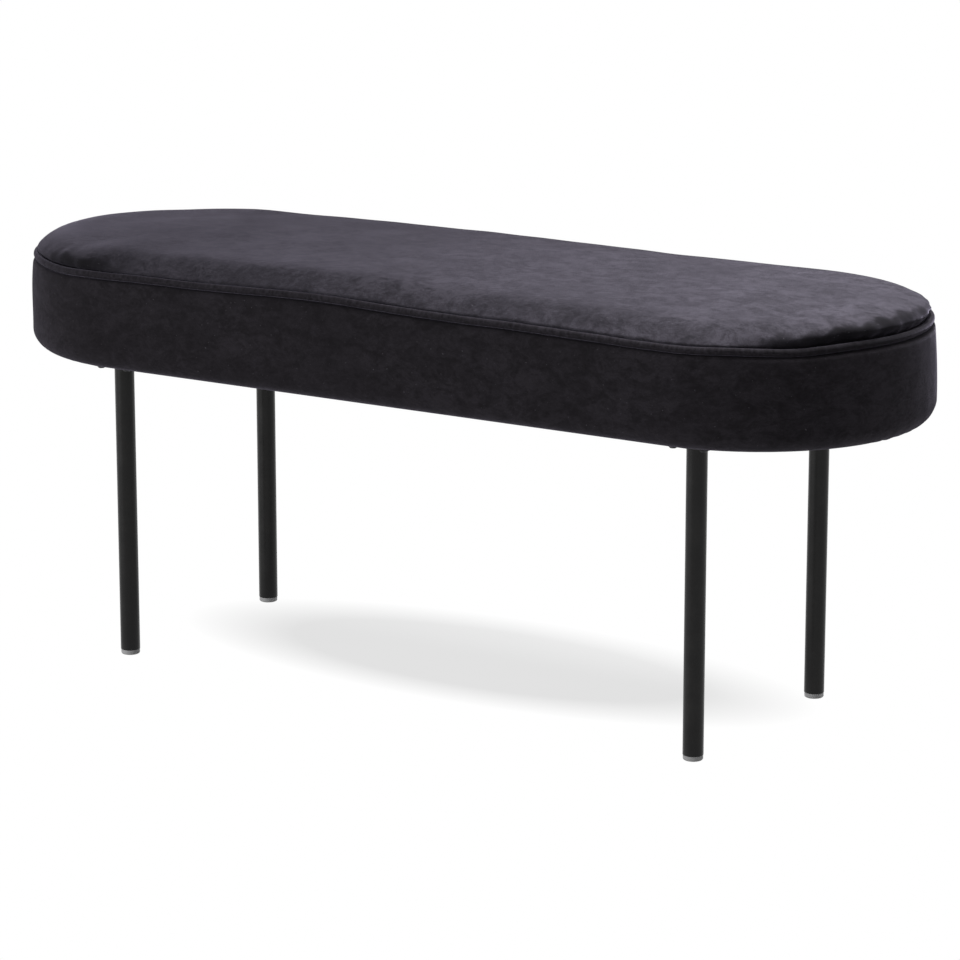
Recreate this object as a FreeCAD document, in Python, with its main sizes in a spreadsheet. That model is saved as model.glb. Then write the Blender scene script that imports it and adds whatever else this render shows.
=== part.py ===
import FreeCAD, Part
import math
import os

import Sketcher

# Oval upholstered bench: a wooden seat box dressed in foam and a piped velvet cover, on four
# tube legs. Millimetres. X runs along the bench, Y from front to back, Z up from the floor.

doc = FreeCAD.newDocument("OvalBench")

# Driving sizes
driving = {
    # whole bench
    "seat_length": 1100,  # over the fullest line of the side band
    "seat_depth": 390,
    "underside_height": 340,  # floor to the cover under the seat
    "band_height": 102,  # underside to the top edge of the side band
    "crown_rise": 36,  # top edge of the band to the middle of the cushion
    # cover
    "cover_thickness": 1.5,
    "bottom_roll": 23,  # radius of the cover round the lower edge
    "band_swell": 850,  # radius of the band's slight bulge
    "band_top_roll": 5,  # radius where the band turns in under the piping
    "hem_width": 30,  # flat part of the band turned in under the seat
    "piping_diameter": 8,
    "piping_wall": 1.4,
    "piping_inset": 3.8,  # from the fullest line of the band to the piping
    "crown_top_radius": 1700,
    "crown_shoulder_radius": 64,
    "crown_edge_radius": 9,
    "crown_edge_rise": 12,  # top edge of the band to the centre of the edge's curve
    "soft_gap": 0.3,  # left between soft layers
    # filling
    "wadding_thickness": 3,
    "wadding_skirt": 4,  # wadding turned down at the edge
    # seat box
    "box_inset": 18,  # band's fullest line to the box
    "bottom_board_thickness": 15,
    "top_board_thickness": 9,
    "box_height": 78.5,
    "rail_thickness": 12,
    "cross_rail_spacing": 236,
    "board_screw_spacing": 260,
    "former_screw_angle": 45,
    "board_screw_diameter": 4,
    "board_screw_head": 8,
    "bottom_screw_length": 40,
    "top_screw_length": 32,
    "board_screw_point": 5,
    "screw_clearance": 0.2,
    # dust cover
    "dust_cover_thickness": 0.6,
    "dust_cover_margin": 9,  # left bare round it, up to the rolled edge
    # legs
    "leg_end_offset": 13,  # leg's axis past the end of the straight sides
    "leg_side_setback": 61,  # leg's axis behind the fullest line of the band
    "leg_diameter": 22,
    "leg_wall": 1.5,
    "leg_end_ease": 0.4,
    "weld_size": 3,
    "plate_width": 54,
    "plate_thickness": 3,
    "plate_corner": 8,
    "plate_hole_spacing": 36,
    "plate_hole_clearance": 0.5,
    "leg_screw_diameter": 6,
    "leg_screw_head": 10.5,
    "leg_screw_head_face": 6.5,
    "leg_screw_head_height": 3.3,
    "leg_screw_head_rim": 1.2,
    "leg_screw_length": 18,
    "leg_screw_socket": 4,  # across the flats
    "leg_screw_socket_depth": 2,
    "nut_barrel_diameter": 8,
    "nut_barrel_length": 11,
    "nut_flange_diameter": 17,
    "nut_flange_thickness": 1.4,
    # glides
    "glide_height": 5.5,
    "glide_inset": 0.4,  # glide's side behind the leg's
    "glide_edge": 1.8,  # rounding where it meets the floor
    "glide_core_diameter": 15,
    "glide_core_length": 18,
    "glide_rib_height": 2.4,
    "glide_rib_pitch": 4,
    "glide_rib_count": 4,
    "glide_fit": 0.05,  # ribs' clearance in the tube
}

sheet = doc.addObject("Spreadsheet::Sheet", "Sizes")
for cell, (alias, number) in enumerate(driving.items(), start=1):
    sheet.set(f"A{cell}", alias)
    sheet.set(f"B{cell}", str(number))
    sheet.setAlias(f"B{cell}", alias)
doc.recompute()

# Places that follow from the driving sizes
following = {
    "spine": "(Sizes.seat_length - Sizes.seat_depth) / 2",
    "straight": "Sizes.seat_length - Sizes.seat_depth",
    "band_radius": "Sizes.seat_depth / 2",
    # underside, band and piping
    "hem_edge": "Places.band_radius - Sizes.bottom_roll - Sizes.hem_width",
    "roll_centre": "Places.band_radius - Sizes.bottom_roll",
    "roll_level": "Sizes.underside_height + Sizes.bottom_roll",
    "swell_centre": "Places.band_radius - Sizes.band_swell",
    "band_top": "Sizes.underside_height + Sizes.band_height",
    "top_roll_level": "Places.band_top - Sizes.band_top_roll",
    "top_roll_centre": "Places.swell_centre + sqrt((Sizes.band_swell - Sizes.band_top_roll)^2"
    " - (Places.top_roll_level - Places.roll_level)^2)",
    "piping_radius": "Sizes.piping_diameter / 2",
    "cord_radius": "Places.piping_radius - Sizes.piping_wall - Sizes.soft_gap / 2",
    "piping_bore": "Places.piping_radius - Sizes.piping_wall",
    "piping_line": "Places.band_radius - Sizes.piping_inset - Places.piping_radius",
    "piping_level": "Places.band_top + Sizes.soft_gap + Places.piping_radius",
    # crown
    "crown_top": "Places.band_top + Sizes.crown_rise",
    "crown_edge": "Places.piping_line - Places.piping_radius - Sizes.soft_gap",
    "crown_edge_level": "Places.band_top + Sizes.crown_edge_rise",
    # soft layers, inwards from the cover's outer side
    "cover_inside": "Sizes.cover_thickness",
    "wadding_outside": "Sizes.cover_thickness + Sizes.soft_gap",
    "wadding_inside": "Places.wadding_outside + Sizes.wadding_thickness",
    "wadding_hem": "Places.crown_edge_level - Sizes.wadding_skirt",
    "foam_outside": "Places.wadding_inside + Sizes.soft_gap",
    "strip_outside": "Sizes.cover_thickness + Sizes.soft_gap",
    # seat box
    "box_bottom": "Sizes.underside_height + Sizes.cover_thickness",
    "rail_bottom": "Places.box_bottom + Sizes.bottom_board_thickness",
    "box_top": "Places.box_bottom + Sizes.box_height",
    "rail_top": "Places.box_top - Sizes.top_board_thickness",
    "rail_height": "Places.rail_top - Places.rail_bottom",
    "box_radius": "Places.band_radius - Sizes.box_inset",
    "rail_inside": "Places.box_radius - Sizes.rail_thickness",
    "strip_inside": "Places.box_radius + Sizes.soft_gap",
    "board_edge": "Places.box_radius - Places.roll_centre",
    "board_screw_line": "Places.roll_centre - Sizes.board_screw_head / 2",
    "former_screw_x": "Places.spine + Places.board_screw_line * cos(Sizes.former_screw_angle * 1 deg)",
    "former_screw_y": "Places.board_screw_line * sin(Sizes.former_screw_angle * 1 deg)",
    "board_screw_radius": "Sizes.board_screw_diameter / 2",
    "board_screw_head_radius": "Sizes.board_screw_head / 2",
    "board_hole_radius": "Places.board_screw_radius + Sizes.screw_clearance",
    "board_sink_radius": "Places.board_screw_head_radius + Sizes.screw_clearance",
    "bottom_screw_tip": "Places.box_bottom + Sizes.bottom_screw_length",
    "top_screw_tip": "Places.box_top - Sizes.top_screw_length",
    "board_screw_row": "2 * Sizes.board_screw_spacing",
    # dust cover
    "dust_cover_radius": "Places.roll_centre - Sizes.dust_cover_margin",
    "dust_cover_bottom": "Sizes.underside_height - Sizes.dust_cover_thickness",
    # legs and their fixings
    "leg_x": "Places.spine + Sizes.leg_end_offset",
    "leg_y": "Places.band_radius - Sizes.leg_side_setback",
    "plate_bottom": "Places.dust_cover_bottom - Sizes.plate_thickness",
    "leg_radius": "Sizes.leg_diameter / 2",
    "leg_bore": "Places.leg_radius - Sizes.leg_wall",
    "fixing_x": "Places.leg_x + Sizes.plate_hole_spacing / 2",
    "fixing_y": "Places.leg_y + Sizes.plate_hole_spacing / 2",
    "leg_screw_radius": "Sizes.leg_screw_diameter / 2",
    "leg_screw_head_radius": "Sizes.leg_screw_head / 2",
    "leg_screw_face_radius": "Sizes.leg_screw_head_face / 2",
    "leg_screw_top": "Places.plate_bottom + Sizes.leg_screw_length",
    "leg_screw_bottom": "Places.plate_bottom - Sizes.leg_screw_head_height",
    "socket_radius": "Sizes.leg_screw_socket / 2 / cos(30 deg)",
    "plate_hole_offset": "Sizes.plate_hole_spacing / 2",
    "plate_hole_radius": "Places.leg_screw_radius + Sizes.plate_hole_clearance",
    "nut_radius": "Sizes.nut_barrel_diameter / 2",
    "nut_bore": "Places.leg_screw_radius + Sizes.screw_clearance / 4",
    "nut_hole_radius": "Places.nut_radius + Sizes.screw_clearance",
    "nut_flange_radius": "Sizes.nut_flange_diameter / 2",
    "nut_flange_top": "Places.rail_bottom + Sizes.nut_flange_thickness",
    "nut_barrel_bottom": "Places.rail_bottom - Sizes.nut_barrel_length",
    # glides
    "glide_radius": "Places.leg_radius - Sizes.glide_inset",
    "glide_core_radius": "Sizes.glide_core_diameter / 2",
    "glide_top": "Sizes.glide_height + Sizes.glide_core_length",
    "glide_rib_radius": "Places.leg_bore - Sizes.glide_fit",
    "glide_rib_bottom": "Sizes.glide_height + Sizes.glide_rib_pitch / 2",
    "glide_rib_top": "Places.glide_rib_bottom + Sizes.glide_rib_height",
    "glide_rib_run": "Sizes.glide_rib_pitch * (Sizes.glide_rib_count - 1)",
}

places = doc.addObject("App::VarSet", "Places")
for name in following:
    places.addProperty("App::PropertyFloat", name)
for name, formula in following.items():
    places.setExpression(name, formula)
doc.recompute()

bodies = []


def value(size):
    # number of a named size, or of named sizes added and taken away
    total = 0.0
    sign = 1
    for word in size.split():
        if word in ("+", "-"):
            sign = 1 if word == "+" else -1
        else:
            owner, name = word.split(".")
            total += sign * float(getattr(doc.getObject(owner), name))
    return total


def origin(body, role):
    return next(part for part in body.Origin.OriginFeatures if part.Role == role)


def newBody(label):
    body = doc.addObject("PartDesign::Body", label)
    body.Label = label
    bodies.append(body)
    return body


def newSketch(body, name, plane, **offsets):
    # x, y and z offsets are along the plane's own axes, z square to it
    sketch = body.newObject("Sketcher::SketchObject", name)
    sketch.AttachmentSupport = [(origin(body, plane), "")]
    sketch.MapMode = "FlatFace"
    for axis, size in offsets.items():
        sketch.setExpression(f"AttachmentOffset.Base.{axis}", size)
    return sketch


def dimension(sketch, kind, where, size):
    index = sketch.addConstraint(Sketcher.Constraint(kind, *where, value(size)))
    sketch.setExpression(f"Constraints[{index}]", size)


def pin(sketch, element, point, x=None, y=None):
    # ties a point to its distances from the sketch's origin, or to an axis
    for kind, axis, size in (("DistanceX", -2, x), ("DistanceY", -1, y)):
        if size == "axis":
            sketch.addConstraint(Sketcher.Constraint("PointOnObject", element, point, axis))
        elif size is not None:
            dimension(sketch, kind, (-1, 1, element, point), size)


def outline(sketch, corners):
    # closed line through corners, each an x and a y size
    points = []
    for x, y in corners:
        across = 0.0 if x == "axis" else value(x)
        up = 0.0 if y == "axis" else value(y)
        points.append(FreeCAD.Vector(across, up, 0))
    lines = [
        sketch.addGeometry(Part.LineSegment(start, end), False)
        for start, end in zip(points, points[1:] + points[:1])
    ]
    for this, other in zip(lines, lines[1:] + lines[:1]):
        sketch.addConstraint(Sketcher.Constraint("Coincident", this, 2, other, 1))
    for this, (x, y) in zip(lines, corners):
        pin(sketch, this, 1, x, y)


def circle(sketch, radius, x="axis", y="axis"):
    centre = FreeCAD.Vector(0 if x == "axis" else value(x), 0 if y == "axis" else value(y), 0)
    ring = sketch.addGeometry(Part.Circle(centre, FreeCAD.Vector(0, 0, 1), value(radius)), False)
    dimension(sketch, "Radius", (ring,), radius)
    pin(sketch, ring, 3, x, y)


def arc(sketch, centre, radius, start, end):
    # start and end in radians, anticlockwise
    round_edge = Part.Circle(FreeCAD.Vector(*centre, 0), FreeCAD.Vector(0, 0, 1), radius)
    return sketch.addGeometry(Part.ArcOfCircle(round_edge, start, end), False)


def line(sketch, start, end):
    ends = FreeCAD.Vector(*start, 0), FreeCAD.Vector(*end, 0)
    return sketch.addGeometry(Part.LineSegment(*ends), False)


def oval(sketch, radius):
    # two straight sides and two half-round ends, centred on the bench
    half = value("Places.spine")
    reach = value(radius)
    right = arc(sketch, (half, 0), reach, -math.pi / 2, math.pi / 2)
    back = line(sketch, (half, reach), (-half, reach))
    left = arc(sketch, (-half, 0), reach, math.pi / 2, 3 * math.pi / 2)
    front = line(sketch, (-half, -reach), (half, -reach))
    loop = (right, back, left, front)
    for this, other in zip(loop, loop[1:] + loop[:1]):
        sketch.addConstraint(Sketcher.Constraint("Tangent", this, 2, other, 1))
    sketch.addConstraint(Sketcher.Constraint("Equal", right, left))
    pin(sketch, right, 3, "Places.spine", "axis")
    dimension(sketch, "Radius", (right,), radius)
    sketch.addConstraint(Sketcher.Constraint("Symmetric", right, 3, left, 3, -2))


def pad(body, sketch, length, name="Pad", reverse=False):
    feature = body.newObject("PartDesign::Pad", name)
    feature.Profile = sketch
    feature.setExpression("Length", length)
    feature.Reversed = reverse
    doc.recompute()
    return feature


def pocket(body, sketch, depth=None, name="Pocket", reverse=False):
    feature = body.newObject("PartDesign::Pocket", name)
    feature.Profile = sketch
    if depth is None:
        feature.Type = "ThroughAll"
    else:
        feature.setExpression("Length", depth)
    feature.Reversed = reverse
    doc.recompute()
    return feature


def spin(body, sketch, name="Spin", groove=False):
    # full turn about the sketch's upright axis
    feature = body.newObject("PartDesign::Groove" if groove else "PartDesign::Revolution", name)
    feature.Profile = sketch
    feature.ReferenceAxis = (sketch, ["V_Axis"])
    feature.Angle = 360
    doc.recompute()
    return feature


def mirrored(body, features, plane, name):
    feature = body.newObject("PartDesign::Mirrored", name)
    feature.Originals = features
    feature.MirrorPlane = (origin(body, plane), [""])
    body.Tip = feature
    doc.recompute()


def row(body, role, length, count=2):
    # one straight row of a larger pattern, towards the origin
    step = doc.addObject("PartDesign::LinearPattern", "Row")
    step.Direction = (origin(body, role), [""])
    step.setExpression("Length", length)
    step.Occurrences = count
    step.Reversed = True
    return step


def flip(body, plane):
    # one mirror of a larger pattern
    step = doc.addObject("PartDesign::Mirrored", "Flip")
    step.MirrorPlane = (origin(body, plane), [""])
    return step


def repeated(body, features, steps, name):
    feature = body.newObject("PartDesign::MultiTransform", name)
    feature.Originals = features
    feature.Transformations = steps
    body.Tip = feature
    doc.recompute()


def atFixings(body, features):
    # four to a leg plate, on all four legs
    steps = [
        row(body, "X_Axis", "Sizes.plate_hole_spacing"),
        row(body, "Y_Axis", "Sizes.plate_hole_spacing"),
        flip(body, "YZ_Plane"),
        flip(body, "XZ_Plane"),
    ]
    repeated(body, features, steps, "AtFixings")


def roundTheOval(body, draw):
    # draws a half section at the right end of the spine, runs it along the
    # straight sides and turns it round both ends
    section = newSketch(body, "Section", "YZ_Plane", z="Places.spine")
    draw(section)
    doc.recompute()
    side = pad(body, section, "Places.straight", "BackSide", reverse=True)
    mirrored(body, [side], "XZ_Plane", "FrontSide")
    end = body.newObject("PartDesign::Revolution", "RightEnd")
    end.Profile = section
    end.ReferenceAxis = (section, ["V_Axis"])
    end.Angle = 180
    end.Reversed = True
    doc.recompute()
    mirrored(body, [end], "YZ_Plane", "LeftEnd")


def below(size, depth):
    # a size at some depth under the cover's outer side
    return f"{size} - {depth}" if depth else size


def crownLine(sketch, depth=None):
    # half section of the cushion's crown, for a layer at some depth: a flat top arc,
    # a shoulder arc and an edge arc, each tangent to the next
    sizes = [below(f"Sizes.crown_{part}_radius", depth) for part in ("top", "shoulder", "edge")]
    topRadius, shoulderRadius, edgeRadius = [value(size) for size in sizes]
    highest = below("Places.crown_top", depth)
    outermost = below("Places.crown_edge", depth)
    topCentre = (0.0, value(highest) - topRadius)
    edgeCentre = (value(outermost) - edgeRadius, value("Places.crown_edge_level"))

    # the shoulder's centre is where two circles about the other two centres cross
    spanX = edgeCentre[0] - topCentre[0]
    spanY = edgeCentre[1] - topCentre[1]
    span = math.hypot(spanX, spanY)
    toTop = topRadius - shoulderRadius
    toEdge = shoulderRadius - edgeRadius
    along = (toTop**2 - toEdge**2 + span**2) / (2 * span)
    aside = math.sqrt(toTop**2 - along**2)
    centreX = topCentre[0] + (along * spanX - aside * spanY) / span
    centreY = topCentre[1] + (along * spanY + aside * spanX) / span
    topTurn = math.atan2(centreY - topCentre[1], centreX - topCentre[0])
    edgeTurn = math.atan2(edgeCentre[1] - centreY, edgeCentre[0] - centreX)

    top = arc(sketch, topCentre, topRadius, topTurn, math.pi / 2)
    shoulder = arc(sketch, (centreX, centreY), shoulderRadius, edgeTurn, topTurn)
    edge = arc(sketch, edgeCentre, edgeRadius, 0, edgeTurn)
    sketch.addConstraint(Sketcher.Constraint("Tangent", top, 1, shoulder, 2))
    sketch.addConstraint(Sketcher.Constraint("Tangent", shoulder, 1, edge, 2))
    sketch.addConstraint(Sketcher.Constraint("PointOnObject", top, 3, -2))
    pin(sketch, top, 2, "axis", highest)
    for part, size in zip((top, shoulder, edge), sizes):
        dimension(sketch, "Radius", (part,), size)
    pin(sketch, edge, 3, None, "Places.crown_edge_level")
    pin(sketch, edge, 1, outermost, "Places.crown_edge_level")
    return top, edge


def bandLine(sketch, depth=None, startX=None, startLevel=None, endLevel=None):
    # half section of the side, for a layer at some depth: the roll round the lower edge,
    # the slight swell, and the roll in under the piping. It may start at an x on the
    # lower roll or at a level on the swell, and may end at a level on the swell.
    sizes = [below(f"Sizes.{part}", depth) for part in ("bottom_roll", "band_swell", "band_top_roll")]
    rollRadius, swellRadius, topRadius = [value(size) for size in sizes]
    rollCentre = (value("Places.roll_centre"), value("Places.roll_level"))
    swellCentre = (value("Places.swell_centre"), rollCentre[1])
    topCentre = (value("Places.top_roll_centre"), value("Places.top_roll_level"))

    def turnAt(level):
        return math.asin((value(level) - swellCentre[1]) / swellRadius)

    swellStart = turnAt(startLevel) if startLevel else 0
    meeting = (topCentre[1] - swellCentre[1]) / (swellRadius - topRadius)
    swellEnd = turnAt(endLevel) if endLevel else math.asin(meeting)
    swell = arc(sketch, swellCentre, swellRadius, swellStart, swellEnd)
    dimension(sketch, "Radius", (swell,), sizes[1])
    first = last = swell
    if startLevel:
        pin(sketch, swell, 3, "Places.swell_centre", "Places.roll_level")
        pin(sketch, swell, 1, None, startLevel)
    else:
        start = -math.pi / 2
        if startX:
            start = -math.acos((value(startX) - rollCentre[0]) / rollRadius)
        first = arc(sketch, rollCentre, rollRadius, start, 0)
        pin(sketch, first, 3, "Places.roll_centre", "Places.roll_level")
        pin(sketch, first, 2, below("Places.band_radius", depth), "Places.roll_level")
        sketch.addConstraint(Sketcher.Constraint("Tangent", first, 2, swell, 1))
        if startX:
            pin(sketch, first, 1, startX)
        else:
            sketch.addConstraint(Sketcher.Constraint("Vertical", first, 1, first, 3))
    if endLevel:
        pin(sketch, swell, 2, None, endLevel)
    else:
        last = arc(sketch, topCentre, topRadius, swellEnd, math.pi / 2)
        sketch.addConstraint(Sketcher.Constraint("Tangent", swell, 2, last, 1))
        dimension(sketch, "Radius", (last,), sizes[2])
        pin(sketch, last, 2, None, below("Places.band_top", depth))
        sketch.addConstraint(Sketcher.Constraint("Vertical", last, 2, last, 3))
    return first, last


def joinUp(sketch, start, end, corners=()):
    # straight lines from one open end to another, by way of corners
    points = [sketch.getPoint(*start)]
    for x, y in corners:
        points.append(FreeCAD.Vector(0 if x == "axis" else value(x), value(y), 0))
    points.append(sketch.getPoint(*end))
    previous = start
    for index, (near, far) in enumerate(zip(points, points[1:])):
        side = sketch.addGeometry(Part.LineSegment(near, far), False)
        sketch.addConstraint(Sketcher.Constraint("Coincident", *previous, side, 1))
        if index < len(corners):
            pin(sketch, side, 2, *corners[index])
        previous = (side, 2)
    sketch.addConstraint(Sketcher.Constraint("Coincident", *previous, *end))


# Velvet cover

def topPanel():
    # one shell from the seam at the piping over the crown
    def section(sketch):
        outerTop, outerEdge = crownLine(sketch)
        innerTop, innerEdge = crownLine(sketch, "Places.cover_inside")
        seam = [
            ("Places.crown_edge", "Places.piping_level"),
            ("Places.crown_edge - Places.cover_inside", "Places.piping_level"),
        ]
        joinUp(sketch, (outerEdge, 1), (innerEdge, 1), seam)
        joinUp(sketch, (innerTop, 2), (outerTop, 2))

    roundTheOval(newBody("top_panel"), section)


def sideBand():
    # swelling side, rolled under the lower edge and turned in as a hem
    def section(sketch):
        outerRoll, outerTop = bandLine(sketch)
        innerRoll, innerTop = bandLine(sketch, "Places.cover_inside")
        hem = [("Places.hem_edge", "Sizes.underside_height"), ("Places.hem_edge", "Places.box_bottom")]
        joinUp(sketch, (outerRoll, 1), (innerRoll, 1), hem)
        joinUp(sketch, (outerTop, 2), (innerTop, 2))

    body = newBody("side_band")
    roundTheOval(body, section)
    fixingHoles(body, "Places.plate_hole_radius", "Places.box_bottom", "Sizes.cover_thickness")


def pipingCover():
    def section(sketch):
        circle(sketch, "Places.piping_radius", "Places.piping_line", "Places.piping_level")
        circle(sketch, "Places.piping_bore", "Places.piping_line", "Places.piping_level")

    roundTheOval(newBody("piping_cover"), section)


def pipingCord():
    def section(sketch):
        circle(sketch, "Places.cord_radius", "Places.piping_line", "Places.piping_level")

    roundTheOval(newBody("piping_cord"), section)


# Filling

def topWadding():
    def section(sketch):
        outerTop, outerEdge = crownLine(sketch, "Places.wadding_outside")
        innerTop, innerEdge = crownLine(sketch, "Places.wadding_inside")
        skirt = [
            ("Places.crown_edge - Places.wadding_outside", "Places.wadding_hem"),
            ("Places.crown_edge - Places.wadding_inside", "Places.wadding_hem"),
        ]
        joinUp(sketch, (outerEdge, 1), (innerEdge, 1), skirt)
        joinUp(sketch, (innerTop, 2), (outerTop, 2))

    roundTheOval(newBody("top_wadding"), section)


def topFoam():
    # crowned block on the top board, stepped in where the seam allowances lie
    def section(sketch):
        top, edge = crownLine(sketch, "Places.foam_outside")
        side, roll = bandLine(sketch, "Places.strip_outside", startLevel="Places.box_top")
        step = [("Places.crown_edge - Places.foam_outside", "Places.band_top - Places.strip_outside")]
        joinUp(sketch, (edge, 1), (roll, 2), step)
        joinUp(sketch, (top, 2), (side, 1), [("axis", "Places.box_top")])

    roundTheOval(newBody("top_foam"), section)


def sideFoam():
    # strip round the seat box
    def section(sketch):
        roll, side = bandLine(
            sketch, "Places.strip_outside", startX="Places.strip_inside", endLevel="Places.box_top"
        )
        joinUp(sketch, (side, 2), (roll, 1), [("Places.strip_inside", "Places.box_top")])

    roundTheOval(newBody("side_foam"), section)


# Seat box

def screwSection(sketch, shank, head, level, tip, upward):
    # countersunk head at one level, straight shank, pointed tip
    if upward:
        neck = f"{level} + {head} - {shank}"
        shoulder = f"{tip} - Sizes.board_screw_point"
    else:
        neck = f"{level} - {head} + {shank}"
        shoulder = f"{tip} + Sizes.board_screw_point"
    corners = [("axis", level), (head, level), (shank, neck), (shank, shoulder), ("axis", tip)]
    outline(sketch, corners)


def boardScrewCuts(body, x, y, steps, cut=True, sides=("bottom", "top")):
    # screws, or the holes for them, from below and from above
    shank, head = "Places.board_screw_radius", "Places.board_screw_head_radius"
    if cut:
        shank, head = "Places.board_hole_radius", "Places.board_sink_radius"
    for side in sides:
        name = side.capitalize()
        sketch = newSketch(body, name + "Section", "XZ_Plane", x=x, z=f"-{y}")
        upward = side == "bottom"
        level = "Places.box_bottom" if upward else "Places.box_top"
        screwSection(sketch, shank, head, level, f"Places.{side}_screw_tip", upward)
        doc.recompute()
        feature = spin(body, sketch, name + "Screw", groove=cut)
        repeated(body, [feature], steps(body), name + "Screws")


def alongRails(body):
    # the row of a rail, starting from its right-hand screw
    return [row(body, "X_Axis", "Places.board_screw_row", 3)]


def alongBothRails(body):
    return alongRails(body) + [flip(body, "XZ_Plane")]


def roundOneEnd(body):
    return [flip(body, "XZ_Plane")]


def roundBothEnds(body):
    return [flip(body, "XZ_Plane"), flip(body, "YZ_Plane")]


def board(label, bottom, thickness, side):
    body = newBody(label)
    sketch = newSketch(body, "Oval", "XY_Plane", z=bottom)
    oval(sketch, "Places.box_radius")
    doc.recompute()
    feature = pad(body, sketch, thickness, "Board")
    if side == "bottom":
        edges = edgesAt(feature.Shape, value(bottom))
        rounding = body.newObject("PartDesign::Fillet", "LowerEdge")
        rounding.Base = (feature, edges)
        rounding.setExpression("Radius", "Places.board_edge")
        doc.recompute()
    rails = ("Sizes.board_screw_spacing", "Places.board_screw_line", alongBothRails)
    ends = ("Places.former_screw_x", "Places.former_screw_y", roundBothEnds)
    for x, y, steps in (rails, ends):
        boardScrewCuts(body, x, y, steps, sides=(side,))
    if side == "bottom":
        fixingHoles(body, "Places.nut_hole_radius", "Places.rail_bottom")


def boardScrews(label, side):
    body = newBody(label)
    rails = ("Sizes.board_screw_spacing", "Places.board_screw_line", alongBothRails)
    ends = ("Places.former_screw_x", "Places.former_screw_y", roundBothEnds)
    for x, y, steps in (rails, ends):
        boardScrewCuts(body, x, y, steps, cut=False, sides=(side,))


def rail(label, turn):
    # long side of the box, drawn at the back and turned about the upright axis
    body = newBody(label)
    sketch = newSketch(body, "Plan", "XY_Plane", x="-Places.spine", z="Places.rail_bottom")
    corners = [
        ("axis", "Places.rail_inside"),
        ("Places.straight", "Places.rail_inside"),
        ("Places.straight", "Places.box_radius"),
        ("axis", "Places.box_radius"),
    ]
    outline(sketch, corners)
    doc.recompute()
    pad(body, sketch, "Places.rail_height", "Rail")
    boardScrewCuts(body, "Sizes.board_screw_spacing", "Places.board_screw_line", alongRails)
    body.Placement.Rotation = FreeCAD.Rotation(FreeCAD.Vector(0, 0, 1), turn)


def endFormer(label, turn):
    # half ring between the rails, drawn at the right and turned
    body = newBody(label)
    sketch = newSketch(body, "Plan", "XY_Plane", x="Places.spine", z="Places.rail_bottom")
    outer = arc(sketch, (0, 0), value("Places.box_radius"), -math.pi / 2, math.pi / 2)
    inner = arc(sketch, (0, 0), value("Places.rail_inside"), -math.pi / 2, math.pi / 2)
    for part, radius in ((outer, "Places.box_radius"), (inner, "Places.rail_inside")):
        sketch.addConstraint(Sketcher.Constraint("Coincident", part, 3, -1, 1))
        sketch.addConstraint(Sketcher.Constraint("PointOnObject", part, 1, -2))
        sketch.addConstraint(Sketcher.Constraint("PointOnObject", part, 2, -2))
        dimension(sketch, "Radius", (part,), radius)
    joinUp(sketch, (outer, 2), (inner, 2))
    joinUp(sketch, (inner, 1), (outer, 1))
    doc.recompute()
    pad(body, sketch, "Places.rail_height", "Former")
    boardScrewCuts(body, "Places.former_screw_x", "Places.former_screw_y", roundOneEnd)
    body.Placement.Rotation = FreeCAD.Rotation(FreeCAD.Vector(0, 0, 1), turn)


def crossRail(label, side):
    # plain batten between the long rails
    batten = doc.addObject("Part::Box", label)
    batten.Label = label
    batten.setExpression("Length", "Sizes.rail_thickness")
    batten.setExpression("Width", "2 * Places.rail_inside")
    batten.setExpression("Height", "Places.rail_height")
    place = f"{side} * Sizes.cross_rail_spacing - Sizes.rail_thickness / 2"
    batten.setExpression("Placement.Base.x", place)
    batten.setExpression("Placement.Base.y", "-Places.rail_inside")
    batten.setExpression("Placement.Base.z", "Places.rail_bottom")
    bodies.append(batten)


def dustCover():
    body = newBody("dust_cover")
    sketch = newSketch(body, "Oval", "XY_Plane", z="Places.dust_cover_bottom")
    oval(sketch, "Places.dust_cover_radius")
    doc.recompute()
    pad(body, sketch, "Sizes.dust_cover_thickness", "Cloth")
    fixingHoles(body, "Places.plate_hole_radius", "Sizes.underside_height")


# Legs and their fixings

def edgesAt(shape, level):
    # names of the edges that lie wholly at one height
    flat = []
    for index, edge in enumerate(shape.Edges, start=1):
        box = edge.BoundBox
        if abs(box.ZMin - level) < 1e-4 and abs(box.ZMax - level) < 1e-4:
            flat.append(f"Edge{index}")
    return flat


def uprightEdges(shape):
    upright = []
    for index, edge in enumerate(shape.Edges, start=1):
        box = edge.BoundBox
        if box.XLength < 1e-4 and box.YLength < 1e-4:
            upright.append(f"Edge{index}")
    return upright


def fixingHoles(body, radius, level, depth=None):
    # a hole at each leg screw, cut down from a level
    sketch = newSketch(body, "FixingHole", "XY_Plane", z=level)
    circle(sketch, radius, "Places.fixing_x", "Places.fixing_y")
    doc.recompute()
    atFixings(body, [pocket(body, sketch, depth, "FixingPocket")])


def square(sketch, width):
    half = value(width) / 2
    corners = [(-half, -half), (half, -half), (half, half), (-half, half)]
    sides = [line(sketch, near, far) for near, far in zip(corners, corners[1:] + corners[:1])]
    for this, other in zip(sides, sides[1:] + sides[:1]):
        sketch.addConstraint(Sketcher.Constraint("Coincident", this, 2, other, 1))
    for side, kind in zip(sides, ("Horizontal", "Vertical", "Horizontal", "Vertical")):
        sketch.addConstraint(Sketcher.Constraint(kind, side))
    sketch.addConstraint(Sketcher.Constraint("Symmetric", sides[0], 1, sides[1], 2, -1, 1))
    dimension(sketch, "DistanceX", (sides[0], 1, sides[0], 2), width)
    dimension(sketch, "DistanceY", (sides[1], 1, sides[1], 2), width)


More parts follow.
